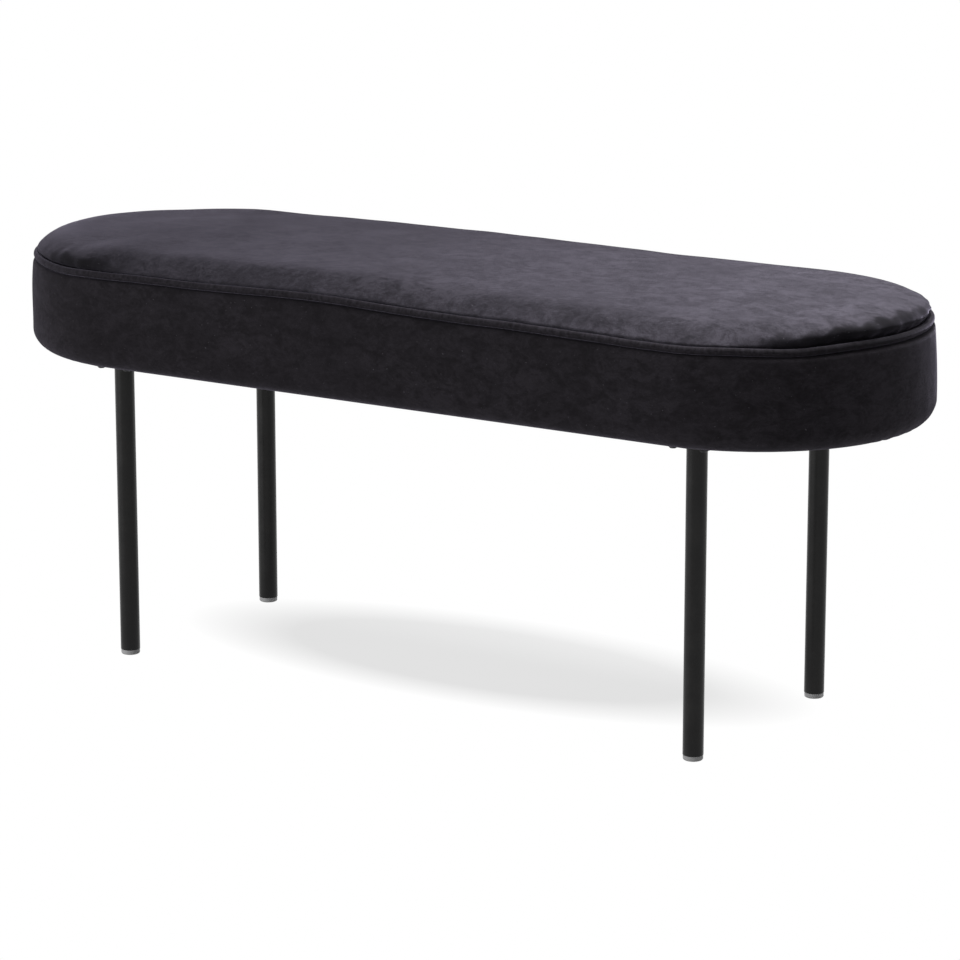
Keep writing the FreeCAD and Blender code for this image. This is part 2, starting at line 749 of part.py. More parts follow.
def hexagon(sketch, radius):
    reach = value(radius)
    guide = sketch.addGeometry(Part.Circle(FreeCAD.Vector(), FreeCAD.Vector(0, 0, 1), reach), True)
    sketch.addConstraint(Sketcher.Constraint("Coincident", guide, 3, -1, 1))
    dimension(sketch, "Radius", (guide,), radius)
    turns = [index * math.pi / 3 for index in range(6)]
    corners = [(reach * math.cos(turn), reach * math.sin(turn)) for turn in turns]
    sides = [line(sketch, near, far) for near, far in zip(corners, corners[1:] + corners[:1])]
    for this, other in zip(sides, sides[1:] + sides[:1]):
        sketch.addConstraint(Sketcher.Constraint("Coincident", this, 2, other, 1))
        sketch.addConstraint(Sketcher.Constraint("PointOnObject", this, 1, guide))
    for other in sides[1:]:
        sketch.addConstraint(Sketcher.Constraint("Equal", sides[0], other))
    sketch.addConstraint(Sketcher.Constraint("PointOnObject", sides[0], 1, -1))


def atLeg(body, x, y):
    body.setExpression("Placement.Base.x", f"{x} * Places.leg_x")
    body.setExpression("Placement.Base.y", f"{y} * Places.leg_y")


def leg(label, x, y):
    # straight tube with an eased open end and the weld at its top
    body = newBody(label)
    sketch = newSketch(body, "Section", "XZ_Plane")
    corners = [
        ("Places.leg_bore", "Sizes.glide_height"),
        ("Places.leg_radius - Sizes.leg_end_ease", "Sizes.glide_height"),
        ("Places.leg_radius", "Sizes.glide_height + Sizes.leg_end_ease"),
        ("Places.leg_radius", "Places.plate_bottom - Sizes.weld_size"),
        ("Places.leg_radius + Sizes.weld_size", "Places.plate_bottom"),
        ("Places.leg_bore", "Places.plate_bottom"),
    ]
    outline(sketch, corners)
    doc.recompute()
    spin(body, sketch, "Tube")
    atLeg(body, x, y)


def legPlate(label, x, y):
    body = newBody(label)
    sketch = newSketch(body, "Plan", "XY_Plane", z="Places.plate_bottom")
    square(sketch, "Sizes.plate_width")
    doc.recompute()
    plate = pad(body, sketch, "Sizes.plate_thickness", "Plate")
    corners = body.newObject("PartDesign::Fillet", "Corners")
    corners.Base = (plate, uprightEdges(plate.Shape))
    corners.setExpression("Radius", "Sizes.plate_corner")
    doc.recompute()
    hole = newSketch(body, "Hole", "XY_Plane", z="Places.dust_cover_bottom")
    circle(hole, "Places.plate_hole_radius", "Places.plate_hole_offset", "Places.plate_hole_offset")
    doc.recompute()
    steps = [row(body, axis, "Sizes.plate_hole_spacing") for axis in ("X_Axis", "Y_Axis")]
    repeated(body, [pocket(body, hole, None, "HolePocket")], steps, "Holes")
    atLeg(body, x, y)


def glide(label, x, y):
    # domed foot with a barbed spigot that is pushed into the leg
    body = newBody(label)
    sketch = newSketch(body, "Section", "XZ_Plane")
    corners = [
        ("axis", "axis"),
        ("Places.glide_radius", "axis"),
        ("Places.glide_radius", "Sizes.glide_height"),
        ("Places.glide_core_radius", "Sizes.glide_height"),
        ("Places.glide_core_radius", "Places.glide_top"),
        ("axis", "Places.glide_top"),
    ]
    outline(sketch, corners)
    doc.recompute()
    foot = spin(body, sketch, "Foot")
    edge = body.newObject("PartDesign::Fillet", "FloorEdge")
    edge.Base = (foot, edgesAt(foot.Shape, 0))
    edge.setExpression("Radius", "Sizes.glide_edge")
    doc.recompute()
    barbSketch = newSketch(body, "BarbSection", "XZ_Plane")
    corners = [
        ("Places.glide_core_radius", "Places.glide_rib_bottom"),
        ("Places.glide_rib_radius", "Places.glide_rib_bottom"),
        ("Places.glide_core_radius", "Places.glide_rib_top"),
    ]
    outline(barbSketch, corners)
    doc.recompute()
    barb = spin(body, barbSketch, "Barb")
    barbs = body.newObject("PartDesign::LinearPattern", "Barbs")
    barbs.Originals = [barb]
    barbs.Direction = (origin(body, "Z_Axis"), [""])
    barbs.setExpression("Length", "Places.glide_rib_run")
    barbs.setExpression("Occurrences", "Sizes.glide_rib_count")
    body.Tip = barbs
    doc.recompute()
    atLeg(body, x, y)


def legScrews():
    body = newBody("leg_screws")
    sketch = newSketch(body, "Section", "XZ_Plane", x="Places.fixing_x", z="-Places.fixing_y")
    corners = [
        ("axis", "Places.leg_screw_bottom"),
        ("Places.leg_screw_face_radius", "Places.leg_screw_bottom"),
        ("Places.leg_screw_head_radius", "Places.plate_bottom - Sizes.leg_screw_head_rim"),
        ("Places.leg_screw_head_radius", "Places.plate_bottom"),
        ("Places.leg_screw_radius", "Places.plate_bottom"),
        ("Places.leg_screw_radius", "Places.leg_screw_top"),
        ("axis", "Places.leg_screw_top"),
    ]
    outline(sketch, corners)
    doc.recompute()
    screw = spin(body, sketch, "Screw")
    socketSketch = newSketch(
        body, "Socket", "XY_Plane", x="Places.fixing_x", y="Places.fixing_y", z="Places.leg_screw_bottom"
    )
    hexagon(socketSketch, "Places.socket_radius")
    doc.recompute()
    socket = pocket(body, socketSketch, "Sizes.leg_screw_socket_depth", "SocketPocket", reverse=True)
    atFixings(body, [screw, socket])


def flangedNuts():
    body = newBody("flanged_nuts")
    sketch = newSketch(body, "Section", "XZ_Plane", x="Places.fixing_x", z="-Places.fixing_y")
    corners = [
        ("Places.nut_bore", "Places.nut_barrel_bottom"),
        ("Places.nut_radius", "Places.nut_barrel_bottom"),
        ("Places.nut_radius", "Places.rail_bottom"),
        ("Places.nut_flange_radius", "Places.rail_bottom"),
        ("Places.nut_flange_radius", "Places.nut_flange_top"),
        ("Places.nut_bore", "Places.nut_flange_top"),
    ]
    outline(sketch, corners)
    doc.recompute()
    atFixings(body, [spin(body, sketch, "Nut")])


topPanel()
sideBand()
pipingCover()
pipingCord()
topWadding()
topFoam()
sideFoam()
board("bottom_board", "Places.box_bottom", "Sizes.bottom_board_thickness", "bottom")
board("top_board", "Places.rail_top", "Sizes.top_board_thickness", "top")
boardScrews("bottom_board_screws", "bottom")
boardScrews("top_board_screws", "top")
rail("back_rail", 0)
rail("front_rail", 180)
endFormer("right_end_former", 0)
endFormer("left_end_former", 180)
crossRail("left_cross_rail", -1)
crossRail("centre_cross_rail", 0)
crossRail("right_cross_rail", 1)
dustCover()
corners = (("front_left", -1, -1), ("front_right", 1, -1), ("back_left", -1, 1), ("back_right", 1, 1))
for corner, x, y in corners:
    leg(corner + "_leg", x, y)
    legPlate(corner + "_plate", x, y)
    glide(corner + "_glide", x, y)
legScrews()
flangedNuts()
doc.recompute()

for item in doc.Objects:
    if "Invalid" in item.State or "Error" in item.State:
        raise RuntimeError(f"{item.Label} failed: {item.State}")
for body in bodies:
    if body.Shape.isNull() or not body.Shape.isValid():
        raise RuntimeError(f"{body.Label} has no valid solid")

os.makedirs("parts", exist_ok=True)
for body in bodies:
    body.Shape.exportStep(f"parts/{body.Label}.step")
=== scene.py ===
import math

import bmesh
import bpy
import numpy as np
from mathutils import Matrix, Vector


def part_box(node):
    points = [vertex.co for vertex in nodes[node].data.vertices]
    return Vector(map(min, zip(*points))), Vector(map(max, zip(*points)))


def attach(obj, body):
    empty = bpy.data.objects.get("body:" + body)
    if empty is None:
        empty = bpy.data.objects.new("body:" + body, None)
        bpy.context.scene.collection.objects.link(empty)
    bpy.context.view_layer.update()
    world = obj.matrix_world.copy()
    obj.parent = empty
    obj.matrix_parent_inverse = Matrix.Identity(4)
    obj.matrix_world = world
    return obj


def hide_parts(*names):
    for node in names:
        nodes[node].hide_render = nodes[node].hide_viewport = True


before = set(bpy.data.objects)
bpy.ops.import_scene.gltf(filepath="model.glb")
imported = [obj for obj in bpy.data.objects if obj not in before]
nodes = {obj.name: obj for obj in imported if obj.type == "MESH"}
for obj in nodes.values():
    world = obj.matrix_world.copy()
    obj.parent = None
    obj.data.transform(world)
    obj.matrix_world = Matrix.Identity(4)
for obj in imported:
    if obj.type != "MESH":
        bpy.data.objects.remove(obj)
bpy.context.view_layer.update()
print("frame loaded:", len(nodes), "nodes")

# Metres: x along the bench, y from front to back, z up from the floor.
# Every soft piece is a section of reaches and heights, taken round the seat's oval.
seat = {
    "halfStraight": 0.355,  # half the straight part of the oval
    "guide": 0.1906,  # reach at which distances round the oval are told
    "fullest": 0.195,  # reach of the band's fullest line
    "underside": 0.34,
    "bandTop": 0.442,
    "tuckReach": 0.179,  # where the velvets end under the piping
    "cloth": 0.0015,  # thickness of the velvet
    "gap": 0.0003,  # between soft layers
    "boxReach": 0.177,  # wooden box inside
    "boxTop": 0.42,
}
straight = 2 * seat["halfStraight"]
ovalLength = 2 * straight + 2 * math.pi * seat["guide"]
# distances run from the front's left corner to the right, round the end and back
backMiddle = 1.5 * straight + math.pi * seat["guide"]


def arcLine(centre, radius, start, end, step):
    count = max(1, math.ceil(abs(end - start) * radius / step))
    turns = np.linspace(start, end, count + 1)
    return [(centre[0] + radius * math.cos(turn), centre[1] + radius * math.sin(turn)) for turn in turns]


def straightLine(start, end, step):
    count = max(1, math.ceil(math.dist(start, end) / step))
    return [tuple(point) for point in np.linspace(start, end, count + 1)]


def joinLines(*lines):
    joined = []
    for line in lines:
        for point in line:
            if not joined or math.dist(point, joined[-1]) > 1e-6:
                joined.append(point)
    return np.array(joined)


def ovalStations(spacing, reach=seat["guide"]):
    # where the section stands each time, from the back's middle on, anticlockwise from above
    half = seat["halfStraight"]
    side = max(2, round(half / spacing))
    end = max(8, round(math.pi * reach / spacing))
    runs = [  # spine x and turn at the start and at the end, and the number of stations
        ((0, 90), (-half, 90), side), ((-half, 90), (-half, 270), end),
        ((-half, 270), (half, 270), 2 * side), ((half, 270), (half, 450), end),
        ((half, 450), (0, 450), side),
    ]
    spine, turn = np.concatenate([np.linspace(*run, endpoint=False) for run in runs]).T
    turn = np.radians(turn)
    steps = np.abs(np.diff(spine)) + seat["guide"] * np.abs(np.diff(turn))
    place = backMiddle + np.concatenate([[0], np.cumsum(steps)])
    return {"spine": spine, "outX": np.cos(turn), "outY": np.sin(turn), "place": place}


def standUp(stations, reach, height):
    x = stations["spine"][:, None] + stations["outX"][:, None] * reach
    y = stations["outY"][:, None] * reach
    return np.stack([x, y, height], -1)


def fullTurn(count):
    return np.linspace(0, 2 * math.pi, count, endpoint=False)


def bump(value, middle, width):
    return np.exp(-(((value - middle) / width) ** 2))


def ease(value, low, high):
    share = np.clip((value - low) / (high - low), 0, 1)
    return share * share * (3 - 2 * share)


def roundTrip(place, middle):
    # shortest way round the oval from a place
    return (place - middle + ovalLength / 2) % ovalLength - ovalLength / 2


def unevenness(points, size, seed, count=12):
    # smooth field from about -1 to 1, its swells about size across
    chance = np.random.default_rng(seed)
    field = np.zeros(points.shape[:-1])
    for _ in range(count):
        heading = chance.normal(size=3)
        heading *= 2 * math.pi / (size * chance.uniform(1.2, 2.4)) / np.linalg.norm(heading)
        field += np.sin(points @ heading + chance.uniform(0, 2 * math.pi))
    return field / math.sqrt(count)


def gathers(place, shortest, longest, seed, count=16):
    # folds square to a seam, in groups, and the same again after one round
    chance = np.random.default_rng(seed)
    folds = np.zeros_like(place)
    for _ in range(count):
        turns = round(ovalLength / chance.uniform(shortest, longest))
        folds += np.cos(2 * math.pi * turns * place / ovalLength + chance.uniform(0, 2 * math.pi))
    groups = np.zeros_like(place)
    for _ in range(5):
        turns = chance.integers(5, 23)
        groups += np.cos(2 * math.pi * turns * place / ovalLength + chance.uniform(0, 2 * math.pi))
    return folds / math.sqrt(count) * np.clip(0.45 + 0.4 * groups, 0.05, 1.6)


def swellAt(stations, middle, width):
    # 1 at a place on the oval, less on both sides of it
    return bump(roundTrip(stations["place"], middle), 0, width)


# How the seat has settled: the piping rises and dips a little, the left end leans out at the top of its
# band, and the crown hangs over its seam at the right end.
settling = {
    "ends": (0.2, 0.9),  # outward x where an end begins and where it is full
    "leftLean": 0.0026,  # outward
    "rightLean": 0.0002,  # inward
    "leanFrom": (0.365, 0.438),  # heights where the lean grows
    "leanUntil": (0.449, 0.463),  # and where it dies out
    "leanReach": (0.1, 0.185),
    "pipingDrawnIn": 0.0011,  # at both ends
    "overhang": 0.001,
    "overhangAt": (1.11, 0.12),  # distance round and half width
    "overhangFrom": (0.449, 0.452),
    "overhangUntil": (0.456, 0.465),
    "overhangReach": (0.15, 0.18),
    "pipingRises": [  # distance round, rise, half width
        (0.28, 0.0046, 0.121), (0.087, 0.0009, 0.035), (0.527, 0.0005, 0.03), (0.714, -0.0028, 0.103),
        (0.856, -0.0023, 0.039), (1.18, 0.001, 0.11), (1.48, -0.0014, 0.12), (1.76, 0.0016, 0.15),
        (2.13, -0.001, 0.09), (2.33, 0.0008, 0.08), (2.548, -0.0016, 0.042),
    ],
    "crownSwells": [  # x, y, rise, half width
        (-0.345, 0.09, -0.0016, 0.09), (0.173, 0.11, 0.0014, 0.11), (-0.12, -0.11, 0.001, 0.12),
        (0.36, -0.06, -0.0008, 0.11), (0.46, 0.07, -0.0016, 0.085), (-0.47, 0.07, -0.0012, 0.08),
    ],
}


def onWood(reach, height):
    return (reach < seat["boxReach"] + 0.0006) & (height < seat["boxTop"] + 0.0004)


def allRound(stations, section):
    # the same section at each station
    return (np.tile(section[:, axis], (len(stations["place"]), 1)) for axis in (0, 1))


def everyStation(section, count):
    return np.tile(np.array(section), (count, 1, 1))


def settle(stations, reach, height):
    # reaches and heights, one row a station, as they have settled
    free = ~onWood(reach, height)
    rise = sum(lift * swellAt(stations, middle, width) for middle, lift, width in settling["pipingRises"])
    raised = rise[:, None] * ease(height, 0.352, seat["bandTop"]) * ease(reach, 0.05, 0.183)
    points = standUp(stations, reach, height)
    swell = sum(
        lift * bump(points[..., 0], x, width) * bump(points[..., 1], y, width)
        for x, y, lift, width in settling["crownSwells"]
    )
    raised += swell * ease(height, seat["bandTop"], 0.462)
    leftEnd, rightEnd = (ease(side * stations["outX"], *settling["ends"]) for side in (-1, 1))
    lean = (settling["leftLean"] * leftEnd - settling["rightLean"] * rightEnd)[:, None]
    over = settling["overhang"] * swellAt(stations, *settling["overhangAt"])[:, None]
    leant = sum(
        share * ease(height, *settling[kind + "From"]) * (1 - ease(height, *settling[kind + "Until"]))
        * ease(reach, *settling[kind + "Reach"])
        for kind, share in (("lean", lean), ("overhang", over))
    )
    return reach + np.where(free, leant, 0), height + np.where(free, raised, 0)


def sectionNormals(section):
    # outward normals, of one section or of a row of them
    along = np.gradient(section, axis=-2)
    along /= np.maximum(np.linalg.norm(along, axis=-1), 1e-9)[..., None]
    return np.stack([along[..., 1], -along[..., 0]], -1)


def sectionLengths(section):
    # distances from its start, of one section or of a row of them
    steps = np.linalg.norm(np.diff(section, axis=-2), axis=-1)
    return np.concatenate([np.zeros_like(steps[..., :1]), np.cumsum(steps, -1)], -1)


def wrapFaces(count, across, closed=True, first=0):
    # quads of a section taken round, with the turns made and the steps across at each corner
    rows = np.arange(count)[:, None]
    columns = np.arange(across if closed else across - 1)[None, :]
    nextRow, nextColumn = (rows + 1) % count, (columns + 1) % across
    corners = [(rows, columns), (nextRow, columns), (nextRow, nextColumn), (rows, nextColumn)]
    quads = np.stack([row * across + column + first + 0 * rows * columns for row, column in corners], -1)
    return quads.reshape(-1, 4)


def clothMap(stations, lengths):
    # distance round and across for each corner of each quad, in metres
    place = np.append(stations["place"], stations["place"][0] + ovalLength)
    across = np.append(lengths, lengths[-1] + seat["cloth"])
    u0, u1 = place[:-1, None], place[1:, None]
    v0, v1 = across[None, :-1], across[None, 1:]
    corners = [(u0, v0), (u1, v0), (u1, v1), (u0, v1)]
    return np.stack([np.stack([u + 0 * v, v + 0 * u], -1) for u, v in corners], -2).reshape(-1, 2)


def makePiece(name, points, faces, material, clothUv=None, weld=False):
    mesh = bpy.data.meshes.new(name)
    mesh.from_pydata(np.asarray(points).reshape(-1, 3).tolist(), [], np.asarray(faces).tolist())
    if clothUv is not None:
        layer = mesh.uv_layers.new(name="cloth")
        layer.uv.foreach_set("vector", clothUv.astype(np.float32).ravel())
    mesh.polygons.foreach_set("use_smooth", [True] * len(mesh.polygons))
    mesh.materials.append(material)
    mesh.validate()
    mesh.update()
    piece = bpy.data.objects.new(name, mesh)
    bpy.context.scene.collection.objects.link(piece)
    if weld:
        mergeTwins(piece)
    return piece


def mergeTwins(piece):
    shape = bmesh.new()
    shape.from_mesh(piece.data)
    bmesh.ops.remove_doubles(shape, verts=shape.verts, dist=1e-6)
    shape.to_mesh(piece.data)
    shape.free()


def paintCreaseShade(piece, shares):
    # painted shade: how dark each point is painted in the creases and under the piping, read by the
    # velvets
    piece.data.attributes.new("creaseShade", "FLOAT", "POINT").data.foreach_set("value", shares.ravel())


def dress(piece, slot, *replaced):
    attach(piece, "root")
    if replaced:
        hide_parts(*replaced)
    return piece


# Materials


def feed(node, socket, value):
    # joins an output to a socket, or sets the socket's own value
    if hasattr(value, "is_output"):
        node.id_data.links.new(value, node.inputs[socket])
    else:
        node.inputs[socket].default_value = value


def addNode(tree, kind, settings=None, **inputs):
    node = tree.nodes.new(kind)
    for name, setting in (settings or {}).items():
        setattr(node, name, setting)
    for name, value in inputs.items():
        feed(node, name.replace("_", " "), value)
    return node


def newMaterial(name, colour, **surface):
    material = bpy.data.materials.new(name)
    material.use_nodes = True
    material.diffuse_color = (*colour, 1)
    shader = material.node_tree.nodes["Principled BSDF"]
    feed(shader, "Base Color", (*colour, 1))
    for socket, value in surface.items():
        feed(shader, socket.replace("_", " "), value)
    return material, material.node_tree, shader


def spot(tree, stretch=(1, 1, 1), source="Object", turn=(0, 0, 0), shift=(0, 0, 0)):
    # where on the piece a texture is read
    where = addNode(tree, "ShaderNodeTexCoord").outputs[source]
    node = addNode(tree, "ShaderNodeMapping", Vector=where, Scale=stretch, Rotation=turn, Location=shift)
    return node.outputs["Vector"]


def noiseAt(where, scale, detail, roughness=0.55, distortion=0.0):
    node = addNode(
        where.id_data, "ShaderNodeTexNoise", Vector=where, Scale=scale, Detail=detail,
        Roughness=roughness, Distortion=distortion)
    return node.outputs["Fac"]


def spread(value, low, high, toLow=0.0, toHigh=1.0):
    node = addNode(
        value.id_data, "ShaderNodeMapRange", Value=value, From_Min=low, From_Max=high, To_Min=toLow,
        To_Max=toHigh)
    return node.outputs["Result"]


def mixColour(share, first, second):
    node = addNode(share.id_data, "ShaderNodeMix", {"data_type": "RGBA"})
    for socket, value in ((0, share), (6, first), (7, second)):
        feed(node, socket, (*value, 1) if isinstance(value, tuple) else value)
    return node.outputs[2]


def compute(operation, first, second=0.0):
    node = addNode(first.id_data, "ShaderNodeMath", {"operation": operation})
    feed(node, 0, first)
    feed(node, 1, second)
    return node.outputs["Value"]


def separate(vector, axis):
    return addNode(vector.id_data, "ShaderNodeSeparateXYZ", Vector=vector).outputs[axis]


# painted shade in the creases and under the piping, per point
def creaseShadeShare(tree):
    return addNode(tree, "ShaderNodeAttribute", {"attribute_name": "creaseShade"}).outputs["Fac"]


def seenRays(tree):
    # 1 for the rays that show a surface or the background, 0 for those that light other surfaces
    path = addNode(tree, "ShaderNodeLightPath")
    rays = compute("MAXIMUM", path.outputs["Is Camera Ray"], path.outputs["Is Glossy Ray"])
    return compute("MAXIMUM", rays, path.outputs["Is Transmission Ray"])


def addBumps(shader, *bumps):
    # each bump is a height field, its strength and its depth in metres
    normal = None
    for height, strength, depth in bumps:
        node = addNode(shader.id_data, "ShaderNodeBump", Height=height, Strength=strength, Distance=depth)
        if normal is not None:
            feed(node, "Normal", normal)
        normal = node.outputs["Normal"]
    feed(shader, "Normal", normal)


velvet = {
    "sheenRoughness": 0.36,
    "sheenTint": (0.6, 0.55, 0.72),
    "patchSize": 0.02,  # where the pile leans one way or the other
    "brushSize": 0.006,
    "napSize": 0.0011,
    "glintSize": 0.003,  # painted glints: light specks on the brightest tips of the pile
}
# one velvet in lit and shaded copies: the top is painted lighter with more sheen and the band darker with
# less, as painted light and shade; the piping's copy lies between them
litTopCloth = {
    "deep": (0.0195, 0.0178, 0.0225), "raised": (0.058, 0.0532, 0.0666), "sheen": 0.42, "relief": 0.17,
}
shadedBandCloth = {
    "deep": (0.0095, 0.0082, 0.01), "raised": (0.024, 0.0212, 0.0258), "sheen": 0.19, "relief": 0.3,
}
pipingCloth = {"deep": (0.009, 0.0077, 0.0095), "raised": (0.031, 0.0275, 0.034), "sheen": 0.36}


def newPile(name, cloth):
    return newMaterial(
        name, cloth["raised"], Roughness=0.9, Specular_IOR_Level=0.1, Sheen_Weight=cloth["sheen"],
        Sheen_Roughness=velvet["sheenRoughness"], Sheen_Tint=(*velvet["sheenTint"], 1),
    )


def makeVelvet(name, cloth, source, streak):
    # dark pile with crisp mottling, short streaks where it has been brushed, a fine nap, a few painted
    # glints, and painted shade in the creases
    material, tree, shader = newPile(name, cloth)
    where = spot(tree, source=source)
    brushed = spot(tree, streak, source)
    patches = noiseAt(brushed, 1 / velvet["patchSize"], 7, 0.72, 0.6)
    streaks = noiseAt(brushed, 1 / velvet["brushSize"], 5, 0.7, 0.3)
    nap = noiseAt(where, 1 / velvet["napSize"], 2, 0.7)
    glint = noiseAt(where, 1 / velvet["glintSize"], 2, 0.5)
    worn = noiseAt(where, 7.5, 3, 0.55, 0.8)
    leaning = spread(patches, 0.42, 0.6, 0, 0.6)
    leaning = compute("ADD", leaning, spread(streaks, 0.4, 0.62, 0, 0.4))
    leaning = compute("MULTIPLY", leaning, spread(worn, 0.35, 0.65, 0.65, 1.3))
    shade = compute("MULTIPLY", leaning, spread(nap, 0.3, 0.7, 0.55, 1.4))
    # painted shade: in the creases and under the piping the mottling falls to its deep tone and the
    # colour is drawn towards near black
    creaseShade = creaseShadeShare(tree)
    shade = compute("MULTIPLY", shade, spread(creaseShade, 0, 1, 1, 0))
    colour = mixColour(shade, cloth["deep"], cloth["raised"])
    colour = mixColour(spread(creaseShade, 0, 1, 0, 0.75), colour, (0.003, 0.0027, 0.0033))
    # painted glints
    colour = mixColour(spread(glint, 0.71, 0.76), colour, (0.07, 0.065, 0.076))
    feed(shader, "Base Color", colour)
    relief = cloth["relief"]
    addBumps(shader, (patches, relief, 0.0022), (streaks, relief, 0.0011), (nap, 0.5, 0.0003))
    return material


def makePipingVelvet():
    # cut on the bias, so its nap and small folds run aslant
    material, tree, shader = newPile("pipingVelvet", pipingCloth)
    folds = noiseAt(spot(tree, (1, 0.25, 1), "UV", (0, 0, math.radians(38))), 260, 2, 0.5)
    nap = noiseAt(spot(tree, source="UV"), 1 / velvet["napSize"], 2, 0.7)
    shade = compute("MULTIPLY", spread(folds, 0.3, 0.7), spread(nap, 0.3, 0.7, 0.6, 1.2))
    colour = mixColour(shade, pipingCloth["deep"], pipingCloth["raised"])
    # painted shade, nearly black, under the piping and at the right end
    colour = mixColour(creaseShadeShare(tree), colour, (0.0016, 0.0014, 0.0018))
    feed(shader, "Base Color", colour)
    addBumps(shader, (folds, 0.5, 0.0006), (nap, 0.45, 0.0003))
    return material


def makeCoat():
    # satin powder coat with a faint orange peel and a little handling dust
    material, tree, shader = newMaterial("powderCoat", (0.0062, 0.006, 0.006), Specular_IOR_Level=0.2)
    where = spot(tree)
    peel = noiseAt(where, 620, 2, 0.5)
    dust = noiseAt(where, 38, 5, 0.65)
    colour = mixColour(spread(dust, 0.45, 0.75), (0.0052, 0.005, 0.005), (0.0125, 0.012, 0.0118))
    feed(shader, "Base Color", colour)
    feed(shader, "Roughness", spread(dust, 0.3, 0.7, 0.26, 0.36))
    addBumps(shader, (peel, 0.25, 0.0002))
    return material


def makeNylon():
    # moulded light grey nylon, painted darker towards the floor as painted shade, broken up by a streaky
    # noise
    material, tree, shader = newMaterial("glideNylon", (0.42, 0.42, 0.42))
    where = spot(tree)
    height = separate(where, "Z")
    grain = noiseAt(where, 900, 2, 0.5)
    streakNoise = noiseAt(spot(tree, (1, 1, 6)), 240, 4, 0.7)
    # painted shade: darker within 2.5 mm of the floor
    worn = compute("MULTIPLY", spread(height, 0.0025, 0.0), spread(streakNoise, 0.4, 0.7))
    feed(shader, "Base Color", mixColour(worn, (0.42, 0.42, 0.425), (0.24, 0.235, 0.23)))
    feed(shader, "Roughness", spread(streakNoise, 0.3, 0.7, 0.42, 0.6))
    addBumps(shader, (grain, 0.2, 0.0001))
    return material


def makeZinc(name, colour, tones, size, shine, relief, streak):
    # cloudy zinc plate, a little lighter on its high spots
    material, tree, shader = newMaterial(name, colour, Metallic=1.0)
    cloud = noiseAt(spot(tree), size, 4, 0.6)
    feed(shader, "Base Color", mixColour(cloud, *tones))
    feed(shader, "Roughness", spread(cloud, 0.3, 0.7, *shine))
    rough = noiseAt(spot(tree, (1, 1, 9)), streak, 2, 0.5) if streak else cloud
    addBumps(shader, (rough, relief, 0.0001))
    return material


def makePly(name, through, along):
    # birch plywood: face grain along one axis, and its plies where they are cut through
    material, tree, shader = newMaterial(name, (0.55, 0.4, 0.24), Roughness=0.62)
    where = spot(tree, tuple(1 if axis == along else 14 for axis in "XYZ"))
    grain = noiseAt(where, 14, 6, 0.62, 0.5)
    figure = noiseAt(where, 3.2, 3, 0.5, 1.2)
    plies = compute("PINGPONG", separate(spot(tree), through), 0.0015)
    turned = spread(plies, 0.00068, 0.00082)
    face = mixColour(grain, (0.47, 0.33, 0.19), (0.64, 0.49, 0.31))
    face = mixColour(spread(figure, 0.35, 0.7, 0, 0.35), face, (0.42, 0.28, 0.15))
    cutEnd = mixColour(turned, (0.58, 0.43, 0.26), (0.36, 0.24, 0.13))
    normal = addNode(tree, "ShaderNodeNewGeometry").outputs["Normal"]
    onFace = spread(compute("ABSOLUTE", separate(normal, through)), 0.6, 0.8)
    feed(shader, "Base Color", mixColour(onFace, cutEnd, face))
    addBumps(shader, (grain, 0.3, 0.0003))
    return material


def makeFoam():
    material, tree, shader = newMaterial("creamFoam", (0.8, 0.73, 0.5), Roughness=0.95)
    where = spot(tree)
    cells = addNode(tree, "ShaderNodeTexVoronoi", Vector=where, Scale=650.0).outputs["Distance"]
    tone = noiseAt(where, 22, 3, 0.5)
    colour = mixColour(tone, (0.74, 0.66, 0.42), (0.86, 0.8, 0.58))
    # painted shade in the cells' pits, which the bump also sinks
    colour = mixColour(spread(cells, 0.1, 0.5), (0.5, 0.43, 0.26), colour)
    feed(shader, "Base Color", colour)
    addBumps(shader, (cells, 0.6, 0.0006))
    return material


def makeWadding():
    material, tree, shader = newMaterial(
        "whiteWadding", (0.86, 0.86, 0.84), Roughness=1.0, Sheen_Weight=0.3)
    fibres = noiseAt(spot(tree, (1, 3, 3)), 260, 6, 0.75, 1.5)
    lumps = noiseAt(spot(tree), 45, 3, 0.5)
    feed(shader, "Base Color", mixColour(fibres, (0.74, 0.74, 0.72), (0.93, 0.93, 0.91)))
    addBumps(shader, (lumps, 0.6, 0.002), (fibres, 0.6, 0.0008))
    return material


def makeCord():
    material, tree, shader = newMaterial("cottonCord", (0.74, 0.7, 0.6), Roughness=0.95)
    yarn = noiseAt(spot(tree, (1, 5, 1), "UV"), 700, 3, 0.6)
    lumps = noiseAt(spot(tree, source="UV"), 160, 2)
    feed(shader, "Base Color", mixColour(yarn, (0.58, 0.53, 0.43), (0.82, 0.79, 0.7)))
    addBumps(shader, (yarn, 0.5, 0.0003), (lumps, 0.3, 0.0004))
    return material


def makeCambric():
    # thin bonded cloth: flattened fibres and small pressed points
    material, tree, shader = newMaterial(
        "blackCambric", (0.012, 0.012, 0.013), Roughness=0.85, Specular_IOR_Level=0.25)
    where = spot(tree)
    fibres = noiseAt(where, 520, 6, 0.8, 2.0)
    points = addNode(tree, "ShaderNodeTexVoronoi", Vector=where, Scale=420.0, Randomness=0.25)
    pressed = spread(points.outputs["Distance"], 0.16, 0.3)
    colour = mixColour(fibres, (0.006, 0.006, 0.0065), (0.028, 0.028, 0.029))
    feed(shader, "Base Color", mixColour(pressed, (0.004, 0.004, 0.004), colour))
    addBumps(shader, (pressed, 0.5, 0.0002), (fibres, 0.4, 0.0002))
    return material


